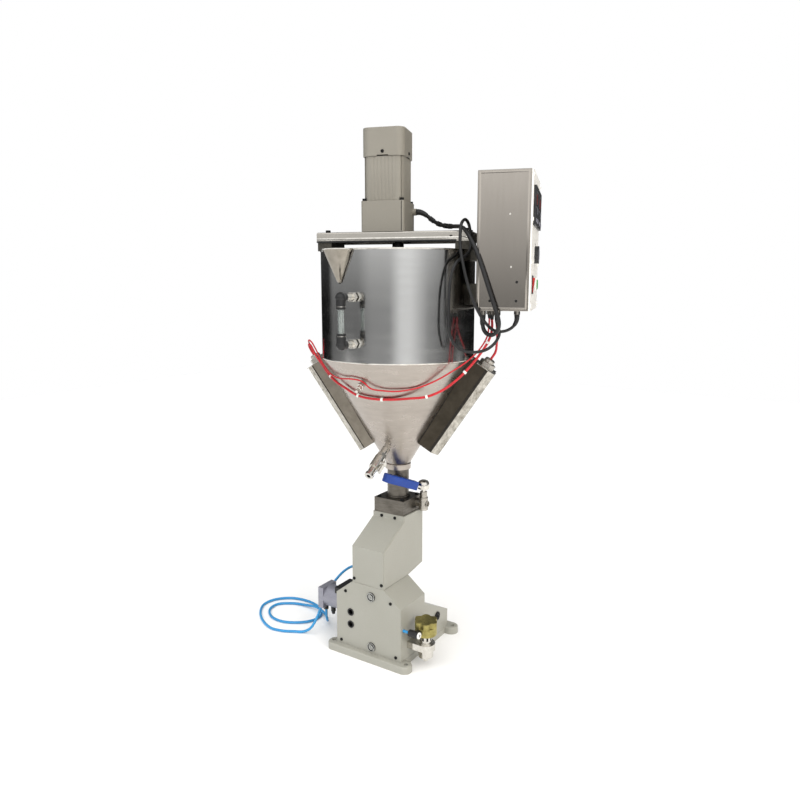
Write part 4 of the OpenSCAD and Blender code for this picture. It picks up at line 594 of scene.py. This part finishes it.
def on_line(line, station, steps=8):
    """The matrix of a ring that sits round a line at a route station."""
    i = round(station*steps)
    turn = (line[i + 1] - line[i - 1]).to_track_quat("Z", "Y").to_matrix().to_4x4()
    return Matrix.Translation(line[i]) @ turn


tie = turned("tie", [(3.0, -2.4), (3.9, -2.4), (3.9, 2.4), (3.0, 2.4), (3.0, -2.4)], 20, 0.3)
ties = scattered(tie, [on_line(left_wire, s) for s in (4.0, 6.55, 8.95, 11.45, 13.05, 15.6)], "wire_ties")
dressed(ties, white_nylon, "frame")

# Lower housing, column and feet: sheet steel with small bend radii
feet = rounded_copy("base_plate", 0, cream_paint)
FOOT_TOP_Z = 16
BOLT_X, BOLT_Y = 94, (-115, 85)
round_edges(feet, 3.6, lambda p: p.z > FOOT_TOP_Z - 0.1
    and min(math.hypot(abs(p.x) - BOLT_X, p.y - y) for y in BOLT_Y) > 6, frame_matrix=UPRIGHT)
for node, radius, segments in [("housing_shell", 1.5, 2), ("front_plate", 1.0, 2),
        ("column_casing", 1.5, 2), ("column_cover", 0.7, 2), ("rear_box", 1.5, 2)]:
    rounded_copy(node, radius, cream_paint, segments)
rounded_copy("socket_screws", 0.25, black_oxide)
rings = rounded_copy("ring_bolts", 0.4, black_oxide)
RING_X, RING_Z = 9, (30.5, 143.5)
repaint(rings, zinc_plate, lambda p, n: p.y < PLATE_Y
    and min(math.hypot(p.x - RING_X, p.z - z) for z in RING_Z) < 5.0)
grommet = turned("grommet", [(7.5, -4.4), (7.5, 0), (8.3, 0.2), (8.3, 1.2), (6.4, 1.6), (5.6, 1.0),
    (5.6, -4.4), (7.5, -4.4)], 32, 0.2)
grommets = scattered(grommet, [at(-45, PLATE_Y, z, (0, -1, 0), 0, UPRIGHT) for z in (67.5, 95.5)],
    "plate_grommets")
dressed(grommets, black_nylon_and_shadow, "frame")

# Product path
rounded_copy("manifold_block", 0.9, milled_steel)
rounded_copy("outlet_tube", 0.6, milled_steel)
rounded_copy("cock_body", 0.7, turned_steel)
rounded_copy("cock_plug", 0.5, bright_plate)
rounded_copy("cock_lever", 0.8, bright_plate)
rounded_copy("cock_grip", 5.5, blue_vinyl, 4)
hub = turned("cock_hub_cap", [(12.6, 351.5), (12.9, 354), (12.9, 362), (11.8, 366), (9.2, 369.2), (5, 371),
    (0.5, 371.4)], 40)
dressed(moved(hub, Matrix.Translation(Vector((COCK_X, COCK_Y, 0))*MM)), bright_plate, BODY_OF["cock_lever"])
rounded_copy("feed_pipe", 0.4, turned_steel)
rounded_copy("pump_block", 0.6, turned_steel)
rounded_copy("metering_cylinder", 0.5, turned_steel)
rounded_copy("metering_piston", 0.5, bright_plate)
rounded_copy("air_cylinder", 1.2, grey_anodised, 3)
rounded_copy("air_fittings", 0.6, black_nylon_and_shadow)

# Nozzle
rounded_copy("nozzle_bracket", 0.9, bright_plate)
nozzle = rounded_copy("nozzle_body", 0.6, bright_plate)
repaint(nozzle, black_oxide, lambda p, n: 60 < p.z < 72.5
    and math.hypot(p.x - NOZZLE_X, p.y - NOZZLE_Y) < 11.6)
rounded_copy("nozzle_cylinder", 1.0, olive_brass)
rounded_copy("nozzle_knob", 0.6, olive_brass, 2)
elbow = rounded_copy("nozzle_elbow", 0.4, black_nylon_and_shadow)
repaint(elbow, blue_hose_tube, lambda p, n: p.x < 97.5)
end_ring = turned("elbow_ring", [(3.2, 0), (6.6, 0), (6.9, 0.6), (6.9, 2.2), (6.0, 3), (3.2, 3), (3.2, 0)], 32)
dressed(moved(end_ring, at(120, -108, 84, (1, 0, 0), 0, UPRIGHT)), white_nylon, "frame")
rounded_copy("needle", 0.2, bright_plate)

# Hopper
shaded_round(rounded_copy("hopper_liner", 0, hopper_sheet, flat=0))
jacket = shaded_round(rounded_copy("hopper_jacket", 0, hopper_sheet, flat=0))
# The cone below the shoulder takes the darker copy of the sheet: painted shade
repaint(jacket, cone_sheet_painted_shade, lambda p, n: p.z < SHOULDER_Z - 0.5)
rounded_copy("fill_pocket", 0, pocket_sheet, flat=0)
boxes = rounded_copy("heater_boxes", 0.8, heater_sheet)
# The right heater box is painted darker than the left: painted shade
repaint(boxes, painted_shade_heater_sheet, lambda p, n: p.x > 0, HOPPER)
# The angled folded faces of both boxes are painted pale: a painted highlight
repaint(boxes, mottled_painted_highlight, lambda p, n: 0.4 < abs(n.y) < 0.85 and n.x*p.x > 0 and n.z < 0.1, HOPPER)


def along_heater(p):
    """How far a point lies along its heater, from the lower end."""
    out = abs(p.x) - HEATER_START["right" if p.x > 0 else "left"]
    return out*math.sin(HEATER_LEAN) + (p.z - HEATER_Z)*math.cos(HEATER_LEAN)


heads = rounded_copy("heaters", 0, turned_steel)
round_edges(heads, 3.2, lambda p: along_heater(p) > 231)
rounded(heads, 0.6, angle=40)
rounded_copy("temperature_probe", 0.4, bright_plate)
rounded_copy("drain_body", 0.6, bright_plate)
rounded_copy("drain_plug", 0.5, bright_plate)
gauge = rounded_copy("gauge_fittings", 0.5, black_nylon_and_shadow)
repaint(gauge, bright_plate, lambda p, n: math.hypot(p.x, p.y) < 194)
rounded_copy("sight_tube", 0.3, sight_acrylic)
gauge_ring = turned("gauge_ring", [(8.6, -0.9), (9.5, -0.7), (9.5, 0.7), (8.6, 0.9), (8.6, -0.9)], 40)
gauge_rings = scattered(gauge_ring, [HOPPER @ Matrix.Rotation(math.radians(GAUGE_TURN), 4, "Z")
    @ Matrix.Translation(Vector((0, -GAUGE_R, z))*MM) for z in (696, 751)], "gauge_rings")
dressed(gauge_rings, bright_plate, "frame")


def ring_point(turn, radius, z):
    """A point on a circle round the hopper's axis, in the machine's frame; the turn is from the front."""
    turn = math.radians(turn)
    return HOPPER @ Vector((radius*math.sin(turn), -radius*math.cos(turn), z))*MM


def welded(name, line, radius, material):
    """A bead along a line, made a mesh."""
    piece = tube(name, line, radius, 2)
    select_only(piece)
    bpy.ops.object.convert(target="MESH")
    return dressed(bpy.context.object, material, "frame")


def cone_radius(z, proud):
    """The cone's radius at a level, some way proud of its sheet."""
    return CONE_FOOT_R + proud + (z - CONE_Z)*CONE_SLOPE


# Weld where the pocket meets the wall, and the rolled lip of its mouth
half_turns = []
for z in range(POCKET_TIP_Z + 1, RIM_Z, 6):
    half_width = POCKET_TIP_R + (POCKET_R - POCKET_TIP_R)*(z - POCKET_TIP_Z)/(RIM_Z - POCKET_TIP_Z)
    half_turns.append((z, math.degrees(2*math.asin(half_width/(2*HOPPER_R)))))
pocket_line = [ring_point(POCKET_TURN - a, HOPPER_R + 0.4, z) for z, a in half_turns[::-1]]
pocket_line += [ring_point(POCKET_TURN, HOPPER_R + 0.4, POCKET_TIP_Z - 1.5)]
pocket_line += [ring_point(POCKET_TURN + a, HOPPER_R + 0.4, z) for z, a in half_turns]
welded("pocket_weld", pocket_line, 1.1, dark_seam_and_shadow)
LIP_R = POCKET_R - 0.4
lip = []
for degrees in range(-82, 83, 4):
    turn = math.radians(degrees)
    place = Vector((LIP_R*math.sin(turn), -HOPPER_R - LIP_R*math.cos(turn), RIM_Z - 1))
    lip.append(HOPPER @ (Matrix.Rotation(math.radians(POCKET_TURN), 4, "Z") @ place)*MM)
welded("pocket_lip", lip, 1.3, bright_plate)
# Upright weld of the jacket at the back, and the one along the cone
WELD_TURN = 160
upright = [ring_point(WELD_TURN, HOPPER_R + 0.2, z) for z in range(643, 857, 12)]
welded("jacket_weld", upright, 0.9, turned_steel)
leaning = [ring_point(WELD_TURN, cone_radius(z, 0.2), z) for z in range(412, 640, 12)]
welded("cone_weld", leaning, 0.9, turned_steel)

# Heater boxes: a dark line where each box meets the cone, a strip of painted shadow beside the folded edge of
# each face, and the plate under each head
for side, tag, seam in [(-1, "left", 1.0), (1, "right", 1.3)]:
    for front in (-1, 1):
        across = HEATER_HALF_WIDTH + 0.4
        on_cone = []
        for z in range(462, 632, 10):
            out = math.sqrt(cone_radius(z, 0.6)**2 - across**2)
            on_cone.append(HOPPER @ Vector((side*out, front*(across + 0.2), z))*MM)
        welded(f"heater_seam_{tag}_{front + 1}", on_cone, seam, dark_seam_and_shadow)
heater_frames = {}
for tag, half_turn in [("left", math.pi), ("right", 0)]:
    heater_frames[tag] = (HOPPER @ Matrix.Rotation(half_turn, 4, "Z")
        @ Matrix.Translation(Vector((HEATER_START[tag], 0, HEATER_Z))*MM)
        @ Matrix.Rotation(HEATER_LEAN, 4, "Y"))
# Strips of painted shadow under each box's lip, wider on the right box
for tag, wide in [("left", 2.2), ("right", 5.6)]:
    for front in (-1, 1):
        y = sorted((front*(HEATER_HALF_WIDTH - 0.1), front*(HEATER_HALF_WIDTH + 0.35)))
        strip = block(f"heater_lip_shadow_{tag}_{front + 1}", (9.6 - wide, y[0], 1.5), (9.6, y[1], 210.5), 0.15)
        dressed(moved(strip, heater_frames[tag]), dark_seam_and_shadow, "frame")
    lid = block(f"heater_lid_{tag}", (-18, -24.4, 211.9), (23.6, 24.4, 213.1), 0.5)
    dressed(moved(lid, heater_frames[tag]), bright_plate, "frame")

# Bridge, agitator and gearmotor
beam = rounded_copy("bridge_beam", 0, ground_bar)
round_edges(beam, 2.6, lambda p: p.z > 896.4 and abs(p.y) > 44.9)
rounded(beam, 0.25, 1, 60)
# A black strip low on each face of the bridge is painted shadow, for the shade under its edge
for side, front in [("front", -1), ("back", 1)]:
    y = sorted((front*44.8, front*45.7))
    shadow_strip = block("bridge_underside_shadow_" + side, (-162, y[0], 875.7), (130, y[1], 879.3), 0.3)
    dressed(moved(shadow_strip, HOPPER), black_nylon_and_shadow, "frame")
    y = sorted((front*44.8, front*45.3))
    hem = block("bridge_hem_" + side, (-161.6, y[0], 880.2), (157.6, y[1], 885), 0.2)
    dressed(moved(hem, HOPPER), bright_plate, "frame")
rounded_copy("bridge_ears", 0.8, dark_sheet)
rounded_copy("bridge_bolts", 0.4, black_oxide)
rounded_copy("agitator", 0.5, bright_plate)
rounded_copy("output_shaft", 0.3, black_oxide)
rounded_copy("gearbox_case", 1.4, motor_paint, 3)
rounded_copy("motor_body", 0.8, motor_paint)
rounded_copy("motor_cap", 1.6, motor_paint, 3)

# Control box: rounded folds, a hem round each side, two rivets, and everything on its panel
case = rounded_copy("control_box", 0, folded_sheet)
round_edges(case, 2.4, lambda p: p.x < BOX_X + 0.1
    or (p.z < BOX_Z + 0.1 or p.z > BOX_TOP - 0.1) and abs(p.y) > BOX_HALF_DEPTH - 0.1)
rounded(case, 0.3, 1, 60)
HEM_W = 3.4
left, right, bottom, top = BOX_X + 3.2, BOX_END_X, BOX_Z + 3.2, BOX_TOP - 3.2
hem_corners = [((left, bottom), (left + HEM_W, top)), ((right - HEM_W, bottom), (right, top)),
    ((left + HEM_W, bottom), (right - HEM_W, bottom + HEM_W)),
    ((left + HEM_W, top - HEM_W), (right - HEM_W, top))]
for front in (-1, 1):
    y = sorted((front*(BOX_HALF_DEPTH - 0.1), front*(BOX_HALF_DEPTH + 0.35)))
    for number, (low, high) in enumerate(hem_corners):
        strip = block(f"box_hem_{front + 1}_{number}", (low[0], y[0], low[1]), (high[0], y[1], high[1]), 0.2)
        dressed(moved(strip, HOPPER), folded_sheet, "frame")
rivet = turned("rivet", [(1.9, -0.5), (1.9, 0.1), (1.3, 0.5), (0.4, 0.6)], 20)
rivets = scattered(rivet, [at(x, side*BOX_HALF_DEPTH, z, (0, side, 0))
    for side in (-1, 1) for x, z in [(239, 920), (243, 824)]], "box_rivets")
dressed(rivets, bright_plate, "frame")
plug_places = [at(x, -BOX_HALF_DEPTH, z, (0, -1, 0)) for x, z in [(254.5, 796), (254, 761), (204.5, 761)]]
hole = turned("hole", [(2.3, -1.3), (2.6, -0.2), (2.6, 0.3), (2.0, 0.3), (1.2, -1.0), (0.3, -1.1)], 20)
dressed(scattered(hole, plug_places, "box_hole_plugs"), black_nylon_and_shadow, "frame")
# The panel's own frame: +X along it, +Y up, +Z out of it
PANEL = HOPPER @ Matrix(((0, 0, 1, PANEL_FACE*MM), (1, 0, 0, 0), (0, 1, 0, PANEL_MIDDLE_Z*MM), (0, 0, 0, 1)))
DIAL = PANEL @ Matrix.Translation((0, DIAL_Y*MM, 0))
BARS = {"a": (0, 1, 0), "b": (0.5, 0.5, 90), "c": (0.5, -0.5, 90), "d": (0, -1, 0), "e": (-0.5, -0.5, 90),
    "f": (-0.5, 0.5, 90), "g": (0, 0, 0)}
FIGURES = {"7": "abc", "5": "acdfg", "0": "abcdef", "2": "abdeg"}


def display(name, text, x, y, z, height, material):
    """A row of seven-bar figures on the panel; x and y give the middle of the row."""
    half = height/2
    bar = block("bar", (-0.42*half, -0.1*half, 0), (0.42*half, 0.1*half, 0.3), 0.08, 1)
    places = []
    for number, figure in enumerate(text):
        middle = x + (number - (len(text) - 1)/2)*1.6*half
        for key in FIGURES[figure]:
            side, up, spin = BARS[key]
            places.append(PANEL @ Matrix.Translation(Vector((middle + side*1.05*half, y + up*half, z))*MM)
                @ Matrix.Rotation(math.radians(spin), 4, "Z"))
    dressed(scattered(bar, places, name), material, "frame")


def on_panel(name, low, high, material, radius=0.3):
    """A small rounded block on the panel."""
    return dressed(moved(block(name, low, high, radius), PANEL), material, "frame")


for tag, x in [("left", -46), ("right", 46)]:
    on_panel(f"window_{tag}", (x - 27.6, 66.4, 3.4), (x + 27.6, 91.6, 4.0), display_window, 0.2)
    display(f"reading_{tag}", "752" if x < 0 else "750", x, 79.5, 4.0, 15, red_segments)
    display(f"setting_{tag}", "750" if x < 0 else "752", x + 8, 57, 5.0, 8, grey_anodised)
    for number in range(4):
        key_x = x - 22 + number*14.7
        on_panel(f"key_{tag}_{number}", (key_x - 5, 36, 4.8), (key_x + 5, 43, 6.2), grey_anodised,
            0.6)
    on_panel(f"frame_{tag}", (x - 36, 62.2, 4.9), (x + 36, 63, 5.3), grey_anodised, 0.15)
tick = block("tick", (-0.45, 20, -0.05), (0.45, 24, 0.2), 0.08, 1)
ticks = scattered(tick, [DIAL @ Matrix.Rotation(math.radians(a), 4, "Z") for a in range(-135, 136, 27)],
    "dial_ticks")
dressed(ticks, black_abs, "frame")
dial_cap = turned("dial_cap", [(13.4, 7.9), (13.2, 8.3), (11.4, 8.3), (10.8, 7.95), (0.5, 7.95)], 40)
dressed(moved(dial_cap, DIAL), grey_anodised, BODY_OF["speed_dial"])
for number, (low, high) in enumerate([((-68.5, -97.5), (-66.2, -62.5)), ((-45.8, -97.5), (-43.5, -62.5)),
        ((-66.2, -97.5), (-45.8, -95.2)), ((-66.2, -64.8), (-45.8, -62.5))]):
    on_panel(f"switch_bezel_{number}", (*low, -0.2), (*high, 1.6), black_abs, 0.3)
rounded_copy("box_brackets", 0.8, dark_sheet)
rounded_copy("control_panel", 0.6, white_coat)
rounded_copy("temperature_controllers", 1.0, black_abs)
rounded_copy("speed_dial", 0.9, black_abs)
rounded_copy("power_switch", 0.8, red_rocker)
rounded_copy("fill_button", 0.9, green_button, 3)
for node, material in [("idler_gear", turned_steel), ("rotor", turned_steel), ("needle_spring", zinc_plate)]:
    rounded_copy(node, 0.0, material)

# Motor: fine cooling ribs down the flats, screws in the cap, and the gearbox's case line
MOTOR = HOPPER @ Matrix.Translation((MOTOR_X*MM, 0, 0))
motor_sides = [MOTOR @ Matrix.Rotation(math.radians(side), 4, "Z") for side in (0, 90, 180, 270)]
rib = block("rib", (-2.6, -0.35, 1.5), (2.6, 0.6, MOTOR_TOP - GEARBOX_TOP - 1.5), 0.3, 3)
rib_places = [side @ Matrix.Translation(Vector((x*7.6, -41, GEARBOX_TOP))*MM)
    for side in motor_sides for x in range(-3, 4)]
dressed(scattered(rib, rib_places, "motor_ribs"), motor_paint, "frame")
pan_screw = turned("pan_screw", [(3.4, -1), (3.4, 0.6), (2.6, 1.7), (1.2, 2.1), (0.9, 0.9)], 20)
pan_places = [at(0, -43.6, MOTOR_TOP + 9, (0, -1, 0), 0, side) for side in motor_sides]
dressed(scattered(pan_screw, pan_places, "cap_screws"), black_oxide, "frame")
case_line = block("case_line", (38.6, -45.2, 898), (40, -44.8, 956), 0.15, 1)
dressed(scattered(case_line, motor_sides, "gearbox_lines"), dark_seam_and_shadow, "frame")

# Hopper trim: rolled rim and weld bead at the shoulder
rim = turned("hopper_rim", [(157.5, RIM_Z - 0.6), (160.2, RIM_Z - 2.2), (161.2, RIM_Z - 1),
    (160.6, RIM_Z + 0.6), (158.6, RIM_Z + 0.9), (157.5, RIM_Z - 0.6)], 128)
dressed(moved(rim, HOPPER), bright_plate, "frame")
bead = turned("shoulder_bead", [(159.6, SHOULDER_Z - 1.8), (160.9, SHOULDER_Z - 1.0), (161.1, SHOULDER_Z + 0.4),
    (160.4, SHOULDER_Z + 1.6), (159.8, SHOULDER_Z + 1.6), (159.6, SHOULDER_Z - 1.8)], 128)
dressed(moved(bead, HOPPER), bright_plate, "frame")

# Plain pale floor
bpy.ops.mesh.primitive_plane_add(size=8, location=(0, 0, 0))
floor = settled("studio_floor")
floor.data.materials.append(finish("matt_white_floor", "#f6f6f5", "#f4f4f3", 0.9, grain=(50, 50, 50),
    relief=0.0, cloud=900))
floor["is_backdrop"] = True

# Soft studio room: pale and dark upright cards under a pale ceiling, which the steel mirrors, and plain white
# behind the object
world = bpy.data.worlds.new("studio_room")
bpy.context.scene.world = world
world.use_nodes = True
room = world.node_tree
room.nodes.clear()
sky = add_node(room, "ShaderNodeTexCoord").outputs["Generated"]
parts = add_node(room, "ShaderNodeSeparateXYZ", {0: sky})
back = add_node(room, "ShaderNodeMath", {0: parts.outputs["Y"], 1: -1.0}, operation="MULTIPLY")
azimuth = add_node(room, "ShaderNodeMath", {
    0: parts.outputs["X"], 1: back.outputs[0]}, operation="ARCTAN2")
shifted = add_node(room, "ShaderNodeMath", {
    0: azimuth.outputs[0], 1: -math.radians(CAMERA_TURN)}, operation="ADD")
wrapped = add_node(room, "ShaderNodeMath", {
    0: shifted.outputs[0], 1: math.pi, 2: -math.pi}, operation="WRAP")
share = add_node(room, "ShaderNodeMapRange", {
    "Value": wrapped.outputs[0], "From Min": -math.pi, "From Max": math.pi})
cards = add_node(room, "ShaderNodeValToRGB", {0: share.outputs[0]})
# A white card beside the camera, grey walls to both sides and a dark room behind, by angle from the camera in
# degrees; the last number is how much the pale ceiling brightens each
WHITE, PALE, MID, DARK = "#ffffff", "#a0a0a0", "#777777", "#141414"
bands = [(-180, DARK, 0.1), (-122, DARK, 0.1), (-112, MID, 0.6), (-60, MID, 0.6), (-40, PALE, 1.0),
    (-12, PALE, 1.0), (4, WHITE, 1.0), (18, WHITE, 1.0), (44, PALE, 0.9), (68, MID, 0.6), (86, DARK, 0.1)]
ramp = cards.color_ramp
while len(ramp.elements) > 1:
    ramp.elements.remove(ramp.elements[0])
for number, (degrees, code, open_share) in enumerate(bands):
    share_of_turn = (degrees + 180)/360
    stop = ramp.elements[0] if number == 0 else ramp.elements.new(share_of_turn)
    stop.position = share_of_turn
    stop.color = (*linear(code)[:3], open_share)
rise = add_node(room, "ShaderNodeMapRange", {
    "Value": parts.outputs["Z"], "From Min": -0.03, "From Max": 0.18})
lift = add_node(room, "ShaderNodeMath", {0: rise.outputs[0], 1: cards.outputs["Alpha"]}, operation="MULTIPLY")
mirrored = add_node(room, "ShaderNodeMix", {
    0: lift.outputs[0], 6: cards.outputs["Color"], 7: (1.45, 1.45, 1.45, 1)}, data_type="RGBA")
mirrored_light = add_node(room, "ShaderNodeBackground", {"Color": mirrored.outputs[2], "Strength": 1.0})
plain = add_node(room, "ShaderNodeBackground", {"Color": (1, 1, 1, 1), "Strength": 1.0})
seen = add_node(room, "ShaderNodeLightPath")
either = add_node(room, "ShaderNodeMixShader", {
    0: seen.outputs["Is Camera Ray"], 1: mirrored_light.outputs[0], 2: plain.outputs[0]})
add_node(room, "ShaderNodeOutputWorld", {"Surface": either.outputs[0]})


def soft_light(name, place, towards, size, watts, code="#ffffff"):
    """A large square lamp that points at a place and isn't mirrored."""
    aim = (Vector(towards) - Vector(place)).to_track_quat("-Z", "Y").to_euler()
    bpy.ops.object.light_add(type="AREA", location=place, rotation=aim)
    lamp = bpy.context.object
    lamp.name = name
    lamp.data.size = size
    lamp.data.energy = watts
    lamp.data.color = linear(code)[:3]
    lamp.visible_glossy = False


soft_light("front_softbox", (-0.9, -2.8, 1.5), (0, 0, 0.5), 1.8, 5, "#f2f6ff")
soft_light("right_softbox", (2.6, -0.9, 1.5), (0, 0, 0.5), 1.8, 34, "#fff4e6")
bpy.ops.object.light_add(type="SUN", location=(0, 0, 3))
ceiling = bpy.context.object
ceiling.name = "ceiling_light"
ceiling.data.energy = 1.6
ceiling.data.angle = 1.5
ceiling.visible_glossy = False
bpy.context.scene.view_settings.view_transform = "Standard"

low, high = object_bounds()
